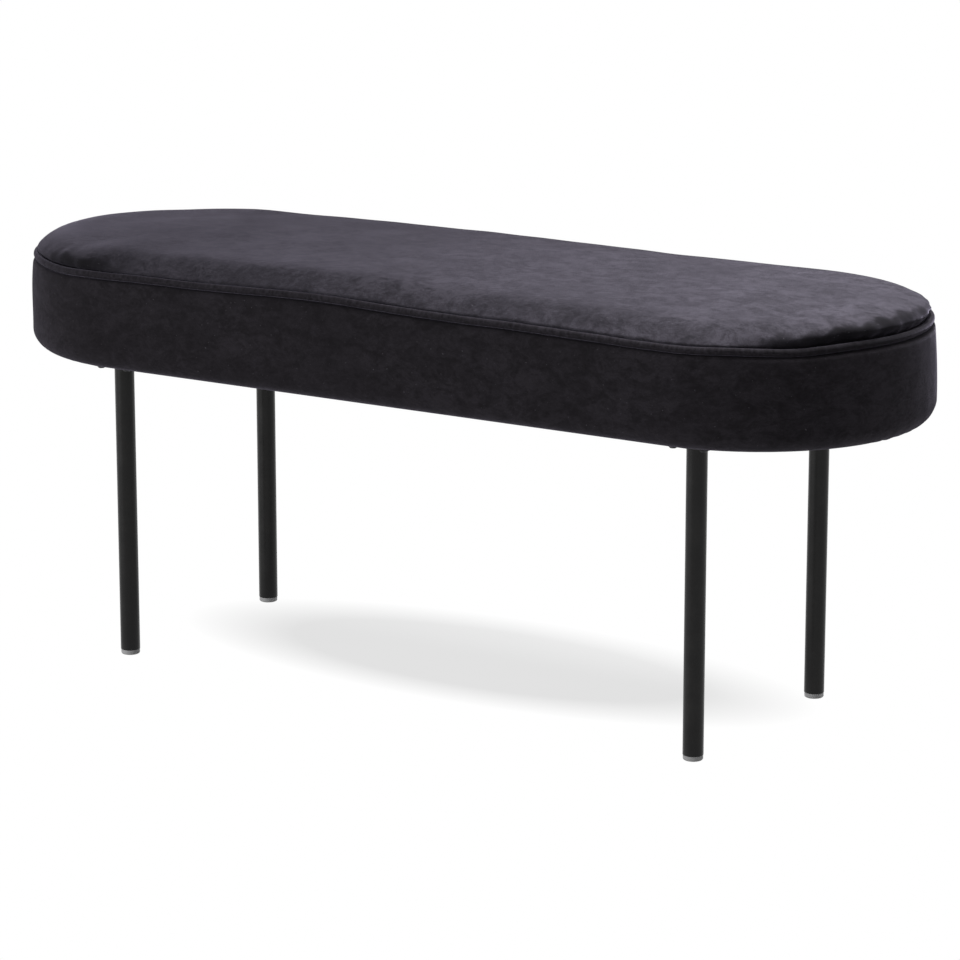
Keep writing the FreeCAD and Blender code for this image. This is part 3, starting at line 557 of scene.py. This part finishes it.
litTopVelvet = makeVelvet("litTopVelvet", litTopCloth, "Object", (0.8, 1.0, 1.0))
shadedBandVelvet = makeVelvet("shadedBandVelvet", shadedBandCloth, "UV", (0.8, 1.2, 1.0))
pipingVelvet = makePipingVelvet()
powderCoat = makeCoat()
glideNylon = makeNylon()
zincPlate = makeZinc(
    "zincPlate", (0.62, 0.63, 0.66), ((0.5, 0.51, 0.55), (0.7, 0.7, 0.71)), 160, (0.24, 0.42),
    0.2, 420)
blackZinc = makeZinc(
    "blackZinc", (0.02, 0.02, 0.021), ((0.012, 0.012, 0.013), (0.045, 0.045, 0.047)), 190, (0.36, 0.52),
    0.15, 0)
creamFoam = makeFoam()
whiteWadding = makeWadding()
cottonCord = makeCord()
blackCambric = makeCambric()
flatPly = makePly("flatPly", "Z", "X")
railPly = makePly("railPly", "Y", "X")
crossPly = makePly("crossPly", "X", "Y")
print("materials made")


# The cushion's crown

crown = {
    # sections from the seam inwards: full where the foam's edge stands up, worn where sitting has pressed
    # it down, and lipped where the cloth bulges over its seam; all three end in the same middle
    "full": [
        (0.1826, 0.4468), (0.183, 0.4502), (0.1866, 0.4512), (0.1868, 0.4542), (0.1836, 0.4584),
        (0.1792, 0.4624), (0.1712, 0.4667), (0.16, 0.47), (0.146, 0.4722),
    ],
    "worn": [
        (0.1826, 0.4468), (0.1828, 0.4502), (0.1872, 0.4512), (0.1806, 0.456), (0.1742, 0.4608),
        (0.1674, 0.4652), (0.1592, 0.469), (0.15, 0.4714), (0.138, 0.4728),
    ],
    "lipped": [
        (0.1812, 0.4466), (0.179, 0.45), (0.1832, 0.4545), (0.186, 0.4604), (0.1796, 0.4662),
        (0.173, 0.4686), (0.167, 0.4698), (0.158, 0.4712), (0.148, 0.4722),
    ],
    "middle": [(0.12, 0.4739), (0.06, 0.477), (0.025, 0.4779), (0.0, 0.478)],
    "wornFrom": (0.15, 0.75),  # how square to the side the edge is where the wear begins and is full
    "wornAtBack": 0.75,
    "lippedAt": (0.975, 0.165),  # distance round and half width
    "lippedFrom": (0.77, 0.09),  # where it begins and the distance it takes
    "creasedAt": (2.568, 0.062),  # at the left end
    "leftLip": 0.7,
    "tuckRise": 0.0008,  # of its tuck above the band's
    "spacing": 0.0033,
    "acrossCount": 66,
    "crowding": 1.35,
    "liningCount": 20,
    "liningCrowding": 1.2,
    "fineSwell": 0.00045,
    "seamFolds": 0.00055,
    "foldReach": 0.011,  # how far the folds run up from the seam
    "crumples": 0.0013,
    "pinches": 0.0015,
    "deepest": 0.0011,  # how far the cloth may dip
    "slack": 0.002,  # how much further it may where it is crumpled
    "shadeHeight": 0.012,  # height of the painted shade in the crease, measured up the cloth
    "shadeTop": 0.013,  # added where it is highest
    "shadeTopAt": (0.985, 0.095),
    "shadeLeft": 0.005,  # added at the left end
    "shadeRagged": 0.0038,
}


def roundedLine(controls, count, crowding):
    # smooth line that keeps near its control points, with its steps crowded towards the start
    line = np.array(controls)
    for _ in range(4):
        pairs = np.stack([line[:-1] * 0.75 + line[1:] * 0.25, line[:-1] * 0.25 + line[1:] * 0.75], 1)
        line = np.concatenate([line[:1], pairs.reshape(-1, 2), line[-1:]])
    lengths = sectionLengths(line)
    even = np.linspace(0, 1, count) ** crowding * lengths[-1]
    return np.stack([np.interp(even, lengths, line[:, axis]) for axis in (0, 1)], -1)


def crownShares(stations):
    # how worn and how lipped the crown is at each station
    along = ease(1 - np.abs(stations["outX"]), *crown["wornFrom"])
    facing = np.where(stations["outY"] < 0, 1.0, crown["wornAtBack"])
    begins, length = crown["lippedFrom"]
    lipped = np.clip(1.25 * swellAt(stations, *crown["lippedAt"]), 0, 1)
    lipped = lipped * ease(roundTrip(stations["place"], begins), 0.0, length)
    lipped = lipped + crown["leftLip"] * swellAt(stations, *crown["creasedAt"])
    return along * facing * (1 - lipped), lipped


def creasedShare(stations):
    # the two places where the cloth is crumpled above its seam
    return np.clip(crownShares(stations)[1] + 0.4 * swellAt(stations, *crown["creasedAt"]), 0, 1)


def crownAround(stations, count, depth, crowding):
    # reaches and heights of the crown's line at each station, at a depth under the velvet
    full, worn, lipped = (
        roundedLine(crown[kind] + crown["middle"], count, crowding) for kind in ("full", "worn", "lipped")
    )
    wornShare, lippedShare = (share[:, None, None] for share in crownShares(stations))
    lines = full + wornShare * (worn - full) + lippedShare * (lipped - full)
    if depth:  # the layers below lie lower where the cloth is crumpled
        lines -= (depth + crown["slack"] * creasedShare(stations)[:, None, None]) * sectionNormals(lines)
    return lines


def crownRelief(stations, points, lengths):
    # how far the cloth stands out from its smooth form
    place, atLeftEnd = stations["place"], swellAt(stations, *crown["creasedAt"])
    fine = crown["fineSwell"]
    rough = fine * unevenness(points, 0.11, 11) + 0.4 * fine * unevenness(points, 0.035, 12)
    endShare = 0.35 + 0.65 * np.abs(stations["outX"])
    folds = gathers(place, 0.011, 0.026, 13) * (endShare + 1.1 * atLeftEnd)
    offSeam = ease(lengths, 0.001, 0.007)
    dying = offSeam * np.exp(-lengths / crown["foldReach"])
    rough = rough * offSeam + crown["seamFolds"] * folds[:, None] * dying
    creased = creasedShare(stations)[:, None]
    crumpled = creased * bump(lengths, 0.016, 0.01)
    rough += crown["crumples"] * crumpled * unevenness(points, 0.015, 14, 20)
    pinched = gathers(place, 0.008, 0.015, 16) * atLeftEnd
    rough -= crown["pinches"] * np.abs(pinched)[:, None] * bump(lengths, 0.011, 0.009)
    return np.maximum(rough, -crown["deepest"] - crown["slack"] * creased)


def crownCreaseShade(stations, points, lengths):
    # painted shade in the crease above the seam, ragged at its top
    tall = crown["shadeHeight"] + crown["shadeTop"] * swellAt(stations, *crown["shadeTopAt"])
    tall = tall + crown["shadeLeft"] * swellAt(stations, *crown["creasedAt"])
    ragged = lengths + crown["shadeRagged"] * unevenness(points, 0.013, 15, 20)
    return creasedShare(stations)[:, None] * ease(tall[:, None] - ragged, -0.007, 0.001)


def makeCrown():
    stations = ovalStations(crown["spacing"])
    skin = crownAround(stations, crown["acrossCount"], 0, crown["crowding"])
    lining = crownAround(stations, crown["liningCount"], seat["cloth"], crown["liningCrowding"])[:, ::-1]
    tuck, top = seat["tuckReach"], seat["bandTop"]
    up = top + crown["tuckRise"]
    turn = [(tuck - seat["cloth"], up), (tuck, up), (tuck + 0.0016, top + 0.0016)]
    lines = np.concatenate([lining, everyStation(turn, len(skin)), skin], 1)
    first = lining.shape[1] + len(turn)
    reach, height = settle(stations, lines[..., 0], lines[..., 1])

    points = standUp(stations, reach, height)[:, first:]
    normals, lengths = sectionNormals(skin), sectionLengths(skin)
    rough = crownRelief(stations, points, lengths)
    reach[:, first:] += rough * normals[..., 0] * ease(reach[:, first:], 0.0, 0.03)
    height[:, first:] += rough * normals[..., 1]
    reach = np.maximum(reach, 0)
    reach[:, [0, -1]] = 0  # the spine, where the two sides meet
    points = standUp(stations, reach, height)
    piece = makePiece("cushionTop", points, wrapFaces(*reach.shape, False), litTopVelvet)
    # painted shade in the crease above the seam
    creaseShade = np.zeros_like(reach)
    creaseShade[:, first:] = crownCreaseShade(stations, points[:, first:], lengths)
    paintCreaseShade(piece, creaseShade)
    mergeTwins(piece)
    return piece


cushionTop = dress(makeCrown(), "velvet", "top_panel")
print("cushion top made:", len(cushionTop.data.polygons), "faces")


# The side band, from its flat hem round the lower edge to the fold under the piping

band = {
    "hemReach": 0.142,
    "roll": 0.023,  # radius round the lower edge
    "swell": 0.85,  # radius of its slight bulge
    "topRoll": 0.0065,  # radius where it turns in under the piping
    "spacing": 0.004,
    "fineSwell": 0.00055,
    "seamFolds": 0.00016,
    "foldReach": 0.012,
    "joinDepth": 0.0011,  # the upright seam at the back
    "joinWidth": 0.0016,
    "joinPuckers": 0.0005,
    "rollFolds": 0.00028,  # cloth gathered under the ends
    # distance round, half width and depth of slack cloth
    "slackPlaces": [(1.07, 0.085, 0.0003), (2.42, 0.07, 0.0002)],
    "shadeFrom": (0.4404, 0.4414),
}
rollCentre = (seat["fullest"] - band["roll"], seat["underside"] + band["roll"])
swellCentre = (seat["fullest"] - band["swell"], rollCentre[1])
topRollHeight = seat["bandTop"] - band["topRoll"]
topRollReach = band["swell"] - band["topRoll"]
topRollTurn = math.asin((topRollHeight - rollCentre[1]) / topRollReach)
topRollCentre = (swellCentre[0] + topRollReach * math.cos(topRollTurn), topRollHeight)


def bandLine(depth=0.0, step=0.004, rollStart=-math.pi / 2, fromHeight=None, toHeight=None):
    # round the lower edge, up the swell and over, at a depth under the velvet
    swell = band["swell"] - depth
    start = math.asin((fromHeight - rollCentre[1]) / swell) if fromHeight else 0
    end = math.asin((toHeight - rollCentre[1]) / swell) if toHeight else topRollTurn
    lines = [arcLine(swellCentre, swell, start, end, step)]
    if not fromHeight:
        lines.insert(0, arcLine(rollCentre, band["roll"] - depth, rollStart, 0, step * 0.6))
    if not toHeight:
        lines.append(arcLine(topRollCentre, band["topRoll"] - depth, topRollTurn, math.pi / 2, step / 4))
    return joinLines(*lines)


def makeBand():
    thick, low, top = seat["cloth"], seat["underside"], seat["bandTop"]
    hem = straightLine((band["hemReach"], low), (rollCentre[0], low), 0.004)
    tuck = straightLine((topRollCentre[0], top), (seat["tuckReach"], top), 0.003)
    outer = joinLines(hem, bandLine(), tuck)
    ends = [(seat["tuckReach"], top - thick)], [(band["hemReach"], low + thick)]
    inner = joinLines(ends[0], bandLine(thick, 0.012)[::-1], ends[1])
    section = np.concatenate([outer, inner])
    stations = ovalStations(band["spacing"])
    reach, height = settle(stations, *allRound(stations, section))

    last = len(outer)
    normals, lengths = sectionNormals(outer), sectionLengths(outer)
    fromSeam = np.clip(sectionLengths(outer[::-1])[::-1] - 0.01, 0, 1)
    points = standUp(stations, reach, height)[:, :last]
    loose = ease(lengths, 0.034, 0.055)  # the hem stays flat on the wood
    fine = band["fineSwell"]
    rough = loose * (fine * unevenness(points, 0.13, 21) + 0.3 * fine * unevenness(points, 0.04, 22))
    atEnd = np.abs(stations["outX"])
    folds = gathers(stations["place"], 0.012, 0.03, 23) * (0.35 + 0.65 * atEnd)
    dying = np.exp(-fromSeam / band["foldReach"]) * ease(fromSeam, 0, 0.003)
    rough += band["seamFolds"] * folds[:, None] * dying
    under = gathers(stations["place"], 0.01, 0.022, 24) * atEnd
    rough += band["rollFolds"] * under[:, None] * bump(lengths, 0.04, 0.014)
    upright = points * np.array([1, 1, 0.3])
    for middle, width, depth in band["slackPlaces"]:
        slack = swellAt(stations, middle, width)[:, None] * loose
        rough += depth * slack * unevenness(upright, 0.016, 25, 16) * ease(fromSeam, 0, 0.008)
    fromJoin = roundTrip(stations["place"], backMiddle)
    rough -= band["joinDepth"] * bump(fromJoin, 0, band["joinWidth"])[:, None] * loose
    tug = np.cos(2 * math.pi * lengths / 0.019 + 0.8) * loose
    fromJoin = np.abs(fromJoin)
    puckered = np.exp(-fromJoin / 0.01) * ease(fromJoin, 0.001, 0.004)
    rough += band["joinPuckers"] * tug * puckered[:, None]
    reach[:, :last] += rough * normals[:, 0]
    height[:, :last] += rough * normals[:, 1]

    points = standUp(stations, reach, height)
    uv = clothMap(stations, sectionLengths(section))
    piece = makePiece("sideBand", points, wrapFaces(*reach.shape), shadedBandVelvet, uv)
    creaseShade = np.zeros_like(reach)  # painted shade where the band turns in under the piping
    creaseShade[:, :last] = ease(section[:last, 1], *band["shadeFrom"])
    paintCreaseShade(piece, creaseShade)
    return piece


sideBand = dress(makeBand(), "velvet", "side_band")
print("side band made:", len(sideBand.data.polygons), "faces")


# Piping: a bias strip round a twisted cord

piping = {
    "reach": 0.1872,
    "height": 0.4463,
    "radius": 0.004,
    "wall": 0.0014,
    "around": 20,
    "aroundInside": 10,
    "waver": 0.0003,
    "joinAt": 0.075,  # past the back's middle
    "joinLength": 0.011,
    "joinBulge": 0.0006,
    "spacing": 0.0026,
    "underShadeAt": (math.radians(296), math.radians(36)),  # turn and half width of the painted shade on its underside
    "pressed": 0.75,  # painted shade on its top as well, at the right end
    "endShadeAt": (0.98, 0.15),
}
cord = {
    "radius": 0.00235, "strands": 3, "pitch": 0.013, "strandDepth": 0.0003, "around": 15,
    "spacing": 0.0028,
}


def swollenRing(stations, count, radius):
    # radius is one number a station and a turn; the whole ring follows the settled seam
    turns = fullTurn(count)
    guide = np.tile((piping["reach"], piping["height"]), (count, 1))
    reach, height = settle(stations, *allRound(stations, guide))
    place = stations["place"]
    waver = piping["waver"] * gathers(place, 0.05, 0.16, 31)[:, None]
    lift = piping["waver"] * gathers(place, 0.06, 0.2, 32)[:, None]
    drawnIn = settling["pipingDrawnIn"] * ease(np.abs(stations["outX"]), *settling["ends"])[:, None]
    return reach + waver - drawnIn + radius * np.cos(turns), height + lift + radius * np.sin(turns)


def makePiping():
    stations = ovalStations(piping["spacing"])
    fromJoin = roundTrip(stations["place"], backMiddle + piping["joinAt"])
    lap = ease(piping["joinLength"] - np.abs(fromJoin), 0, 0.0035)
    groove = bump(np.abs(fromJoin), piping["joinLength"], 0.0014)
    outerRadius = piping["radius"] + piping["joinBulge"] * lap - 0.0003 * groove
    points, faces, maps, count = [], [], [], 0
    sides = ((piping["around"], outerRadius), (piping["aroundInside"], outerRadius - piping["wall"]))
    for size, radius in sides:
        reach, height = swollenRing(stations, size, radius[:, None])
        ring = wrapFaces(len(reach), size, True, count)
        uv = clothMap(stations, fullTurn(size) * piping["radius"])
        if faces:  # the inner side faces the cord
            ring, uv = ring[:, ::-1], uv.reshape(-1, 4, 2)[:, ::-1].reshape(-1, 2)
        points.append(standUp(stations, reach, height).reshape(-1, 3))
        faces.append(ring)
        maps.append(uv)
        count += len(points[-1])
    points, faces, maps = (np.concatenate(parts) for parts in (points, faces, maps))
    piece = makePiece("piping", points, faces, pipingVelvet, maps)
    # painted shade under the piping all along, and all round it at the right end
    pressed = piping["pressed"] * swellAt(stations, *piping["endShadeAt"])
    underShade = bump(fullTurn(piping["around"]), *piping["underShadeAt"])
    outside = np.maximum(underShade, pressed[:, None]).ravel()
    paintCreaseShade(piece, np.concatenate([outside, np.zeros(count - len(outside))]))
    return piece


def makeCordPiece():
    stations = ovalStations(cord["spacing"])
    turns = fullTurn(cord["around"])
    twist = 2 * math.pi * round(ovalLength / cord["pitch"]) * stations["place"][:, None] / ovalLength
    strand = np.abs(np.cos(0.5 * cord["strands"] * (turns[None, :] - twist / cord["strands"])))
    radius = cord["radius"] - cord["strandDepth"] * (1 - strand) ** 2
    reach, height = swollenRing(stations, cord["around"], radius)
    points, uv = standUp(stations, reach, height), clothMap(stations, turns * cord["radius"])
    return makePiece("pipingCord", points, wrapFaces(*reach.shape), cottonCord, uv)


pipingPiece = dress(makePiping(), "velvet_piping", "piping_cover")
dress(makeCordPiece(), "cotton_cord", "piping_cord")
print("piping made:", len(pipingPiece.data.polygons), "faces")


# Filling, each layer inside the next

filling = {
    "wadding": 0.003,
    "skirt": 3,  # steps of its line left off at the seam
    "step": 0.006,
    "spacing": 0.007,
    "acrossCount": 36,
    "crowding": 1.2,
    "lumps": 0.0002,
}
underVelvet = seat["cloth"] + seat["gap"]
underWadding = underVelvet + filling["wadding"] + seat["gap"]


def makeLayer(name, lines, material, closed, seed):
    # lines holds one closed or open line for each station
    stations = ovalStations(filling["spacing"])
    reach, height = settle(stations, lines[..., 0], lines[..., 1])
    free = ~onWood(reach, height)
    lumps = filling["lumps"] * unevenness(standUp(stations, reach, height), 0.02, seed)
    reach = np.maximum(reach - np.abs(lumps) * free * (reach > 0.001), 0)
    if not closed:
        reach[:, [0, -1]] = 0
    points = standUp(stations, reach, height)
    return makePiece(name, points, wrapFaces(*reach.shape, closed), material, weld=not closed)


def underCrown(stations, depth, skirt):
    return crownAround(stations, filling["acrossCount"], depth, filling["crowding"])[:, skirt:]


def makeFilling():
    stations = ovalStations(filling["spacing"])
    around = len(stations["place"])
    outer = underCrown(stations, underVelvet, filling["skirt"])
    inner = underCrown(stations, underVelvet + filling["wadding"], filling["skirt"])
    wadding = makeLayer("topWadding", np.concatenate([inner[:, ::-1], outer], 1), whiteWadding, False, 41)
    dress(wadding, "wadding", "top_wadding")

    side = bandLine(underVelvet, filling["step"], fromHeight=seat["boxTop"])
    over = underCrown(stations, underWadding, filling["skirt"] - 1)
    base = straightLine((0.0, seat["boxTop"]), tuple(side[0]), 0.03)
    ledge = [(0.1775, seat["bandTop"] - underVelvet), (0.177, seat["bandTop"] + 0.002)]
    block = np.concatenate([everyStation(joinLines(base, side, ledge), around), over], 1)
    block = makeLayer("topFoam", block, creamFoam, False, 42)
    dress(block, "foam", "top_foam")

    inside = seat["boxReach"] + seat["gap"]
    start = -math.acos((inside - rollCentre[0]) / (band["roll"] - underVelvet))
    outside = bandLine(underVelvet, filling["step"], rollStart=start, toHeight=seat["boxTop"])
    up = straightLine((inside, seat["boxTop"]), tuple(outside[0]), 0.01)
    strip = makeLayer("sideFoam", everyStation(joinLines(outside, up[:-1]), around), creamFoam, True, 43)
    dress(strip, "foam", "side_foam")


makeFilling()
print("filling made")


# Underneath: dust cover with its staples, and the weld beads on the legs

dustCover = {
    "reach": 0.163,
    "height": 0.3394,
    "turnedIn": 0.012,
    "pull": 0.0009,  # how far its edge draws in between staples
    "sag": 0.0011,
    "ridges": 0.00025,
    "stapleLine": 0.1575,
    "stapleSpacing": 0.045,
}
corners = ("front_left", "front_right", "back_left", "back_right")


def staplePlaces():
    # a fine row of stations, and which of them have a staple
    line = dustCover["stapleLine"]
    count = round((2 * straight + 2 * math.pi * line) / dustCover["stapleSpacing"])
    stations = ovalStations(0.002, line)
    turn = np.unwrap(np.arctan2(stations["outY"], stations["outX"]))
    steps = np.hypot(np.diff(stations["spine"]), line * np.abs(np.diff(turn)))
    along = np.concatenate([[0], np.cumsum(steps)])
    picks = [np.abs(along - along[-1] * (index + 0.5) / count).argmin() for index in range(count)]
    return picks, stations


def makeDustCover():
    picks, fine = staplePlaces()
    stations = ovalStations(0.006, dustCover["reach"])
    near = np.abs(roundTrip(stations["place"][:, None], fine["place"][picks])).min(1)
    slack = np.sin(np.clip(near / (dustCover["stapleSpacing"] * 0.55), 0, 1) * math.pi / 2) ** 2
    rim, level = dustCover["reach"], dustCover["height"]
    flat = straightLine((0.0, level), (rim, level), 0.007)
    fold = [(rim - 0.0001, level + 0.0003), (rim - 0.0006, level + 0.0005)]
    back = straightLine(fold[-1], (rim - dustCover["turnedIn"], level + 0.0005), 0.006)
    section = joinLines(flat, fold, back)
    reach, height = allRound(stations, section)
    reach = reach - dustCover["pull"] * slack[:, None] * ease(reach, 0.135, rim)
    points = standUp(stations, reach, height)
    single = np.arange(len(section)) < len(flat) - 1
    away = np.ones(points.shape[:-1])
    for corner in corners:
        low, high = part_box(corner + "_plate")
        middle = (low + high) / 2
        away = np.minimum(away, np.hypot(points[..., 0] - middle.x, points[..., 1] - middle.y))
    loose = ease(away, 0.042, 0.1) * ease(0.15 - reach, 0, 0.06) * single
    wrinkles = 0.5 + 0.5 * unevenness(points * np.array([1, 2.2, 1]), 0.1, 51)
    height = height - dustCover["sag"] * loose * np.clip(wrinkles, 0, 1.3)
    ridges = gathers(stations["place"], 0.016, 0.04, 52)[:, None] * bump(reach, 0.146, 0.012) * single
    height = height - dustCover["ridges"] * np.abs(ridges) * ease(away, 0.03, 0.045)
    faces = wrapFaces(*reach.shape, False)[:, ::-1]
    return makePiece("dustCover", standUp(stations, reach, height), faces, blackCambric, weld=True)


dustPiece = dress(makeDustCover(), "cambric", "dust_cover")


staple = {"width": 0.0012, "thick": 0.0006, "half": 0.005, "leg": 0.006, "bend": 0.0007, "askew": 0.05}


def makeStaples():
    # flat wire, bent over at both ends and driven through the cloth
    width, thick, half, leg, bend = (staple[size] for size in ("width", "thick", "half", "leg", "bend"))
    path = [(-half, leg), (-half, bend)]
    for turn in (0.5, 1.0, math.pi / 2):
        path.append((-half + bend - bend * math.cos(turn), bend - bend * math.sin(turn)))
    path += [(-x, up) for x, up in path[::-1]]
    points, faces = [], []
    picks, stations = staplePlaces()
    line = dustCover["stapleLine"]
    chance = np.random.default_rng(61)
    for pick in picks:
        outX, outY = stations["outX"][pick], stations["outY"][pick]
        base = Vector((stations["spine"][pick] + outX * line, outY * line, dustCover["height"] - thick))
        turn = math.atan2(outY, outX) + math.pi / 2 + chance.normal(0, staple["askew"])
        along = Vector((math.cos(turn), math.sin(turn), 0))
        across = Vector((-math.sin(turn), math.cos(turn), 0))
        first = len(points)
        for index, (x, up) in enumerate(path):
            before, after = path[max(index - 1, 0)], path[min(index + 1, len(path) - 1)]
            heading = Vector((after[0] - before[0], after[1] - before[1])).normalized()
            inwards = along * -heading.y + Vector((0, 0, heading.x))
            centre = base + along * x + Vector((0, 0, up))
            for side, lift in ((-1, 0), (1, 0), (1, 1), (-1, 1)):
                points.append(centre + across * (side * width / 2) + inwards * (lift * thick))
        faces += wrapFaces(len(path), 4, True, first)[:-4, ::-1].tolist()
        faces += [list(range(first + 3, first - 1, -1)), list(range(len(points) - 4, len(points)))]
    piece = makePiece("coverStaples", [tuple(point) for point in points], faces, zincPlate)
    soften = piece.modifiers.new("Edges", "BEVEL")
    soften.width = 0.00012
    soften.segments = 2
    return piece


dress(makeStaples(), "zinc_steel")

welds = {
    "reach": 0.0121, "radius": 0.0023, "drop": 0.0012, "ripples": 34, "rippleDepth": 0.00028,
    "countRound": 204, "countAcross": 12,
}


def makeWeld(corner):
    # overlapping beads of one fillet weld round the tube, under its plate
    low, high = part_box(corner + "_leg")
    centre = (low + high) / 2
    turn = fullTurn(welds["countRound"])[:, None]
    spin = fullTurn(welds["countAcross"])
    bead = (turn * welds["ripples"] / (2 * math.pi)) % 1
    radius = welds["radius"] + welds["rippleDepth"] * (np.sqrt(1 - (1 - bead) ** 2 * 0.9) - 0.7)
    radius = radius * (1 + 0.05 * np.sin(3 * turn + low.x * 40))
    reach = welds["reach"] + radius * np.cos(spin)
    height = np.minimum(high.z - welds["drop"] + radius * np.sin(spin), high.z)
    points = np.stack([centre.x + reach * np.cos(turn), centre.y + reach * np.sin(turn), height], -1)
    end, side = corner.split("_")
    name = end + side.capitalize() + "Weld"
    return makePiece(name, points, wrapFaces(*height.shape), powderCoat)


for corner in corners:
    dress(makeWeld(corner), "black_steel")
print("underside made")


# Finishes of the solids that stay as they are

solidFinish = {
    "leg": powderCoat, "plate": powderCoat, "glide": glideNylon, "leg_screws": blackZinc,
    "screws": zincPlate, "nuts": zincPlate,
    "bottom_board": flatPly, "top_board": flatPly, "front_rail": railPly, "back_rail": railPly,
    "cross_rail": crossPly, "end_former": railPly,
}
for name, node in nodes.items():
    finish = next((solidFinish[part] for part in solidFinish if name.endswith(part)), None)
    if finish:
        node.data.materials.clear()
        node.data.materials.append(finish)


# Floor, light and camera

studio = {
    "floorSize": 60.0,
    "floorColour": (0.7, 0.7, 0.7),
    "floorTones": ((0.69, 0.69, 0.69), (0.71, 0.71, 0.71)),
    "shadowShare": 0.29,  # how much of the floor's own shade the shadow under the bench shows
    "shadowCentre": (-0.01, 0.065),
    "shadowStretch": 0.4,  # its width to its length
    "clearFrom": (0.104, 0.164),  # across the shadow; from here outwards the floor is plain white
    "skyLight": (0.06, 0.42),  # at the horizon and overhead
}
lamps = {  # reach is how wide each shines, in degrees
    "overhead": {
        "place": (0.45, 0.2, 1.5), "target": (0.51, 0.04, 0.45), "size": (0.26, 0.8),
        "power": 6.1, "reach": 88,
    },
    "frontFill": {
        "place": (-2.0, -2.7, 0.62), "target": (-0.1, 0, 0.38), "size": (1.8, 0.9),
        "power": 48, "reach": 180,
    },
}
camera = {
    "place": (2.218179, -3.422736, 1.203128),
    "yaw": -0.571062,
    "pitch": 0.235781,
    "lens": 142.4615,
    "sensor": 36,
}


def makeFloor():
    half = studio["floorSize"] / 2
    edges = [(-half, -half, 0), (half, -half, 0), (half, half, 0), (-half, half, 0)]
    material, tree, shader = newMaterial(
        "paleFloor", studio["floorColour"], Roughness=0.9, Specular_IOR_Level=0.0)
    feed(shader, "Base Color", mixColour(noiseAt(spot(tree), 30, 3), *studio["floorTones"]))
    glow = addNode(tree, "ShaderNodeEmission", Color=(1, 1, 1, 1), Strength=1.0)
    # the glow grows from the bench's shadow outwards, in a long oval
    stretch, (x, y) = studio["shadowStretch"], studio["shadowCentre"]
    oval = spot(tree, (stretch, 1, 1), shift=(-x * stretch, -y, 0))
    away = addNode(tree, "ShaderNodeVectorMath", {"operation": "LENGTH"}, Vector=oval).outputs["Value"]
    share = spread(away, *studio["clearFrom"], 1 - studio["shadowShare"], 1.0)
    mix = addNode(tree, "ShaderNodeMixShader")
    feed(mix, 0, compute("MULTIPLY", seenRays(tree), share))
    feed(mix, 1, shader.outputs["BSDF"])
    feed(mix, 2, glow.outputs["Emission"])
    feed(tree.nodes["Material Output"], "Surface", mix.outputs["Shader"])
    floor = makePiece("floor", edges, [(0, 1, 2, 3)], material)


def makeWorld():
    # dim at the horizon, as between dark screens, and brighter overhead
    world = bpy.data.worlds.new("studio")
    world.use_nodes = True
    tree = world.node_tree
    heading = addNode(tree, "ShaderNodeTexCoord").outputs["Generated"]
    light = spread(separate(heading, "Z"), 0.0, 0.8, *studio["skyLight"])
    background = tree.nodes["Background"]
    feed(background, "Color", (1, 1, 1, 1))
    feed(background, "Strength", compute("MAXIMUM", seenRays(tree), light))
    bpy.context.scene.world = world


def aim(name, thing, place, heading):
    holder = bpy.data.objects.new(name, thing)
    holder.location = place
    holder.rotation_euler = heading.to_track_quat("-Z", "Y").to_euler()
    bpy.context.scene.collection.objects.link(holder)
    return holder


def makeLamp(name, place, target, size, power, reach):
    lamp = bpy.data.lights.new(name, "AREA")
    lamp.shape = "RECTANGLE"
    lamp.size, lamp.size_y = size
    lamp.energy = power
    lamp.spread = math.radians(reach)
    aim(name, lamp, place, Vector(target) - Vector(place))


def makeCamera():
    lens = bpy.data.cameras.new("view")
    lens.sensor_width = camera["sensor"]
    lens.lens = camera["lens"]
    lens.clip_end = 100
    level = Vector((math.sin(camera["yaw"]), math.cos(camera["yaw"]), 0))
    heading = level * math.cos(camera["pitch"]) - Vector((0, 0, math.sin(camera["pitch"])))
    bpy.context.scene.camera = aim("view", lens, camera["place"], heading)


makeFloor()
makeWorld()
for lampName, lampSettings in lamps.items():
    makeLamp(lampName, **lampSettings)
makeCamera()
bpy.context.scene.view_settings.view_transform = "Standard"
print("floor, light and camera set")
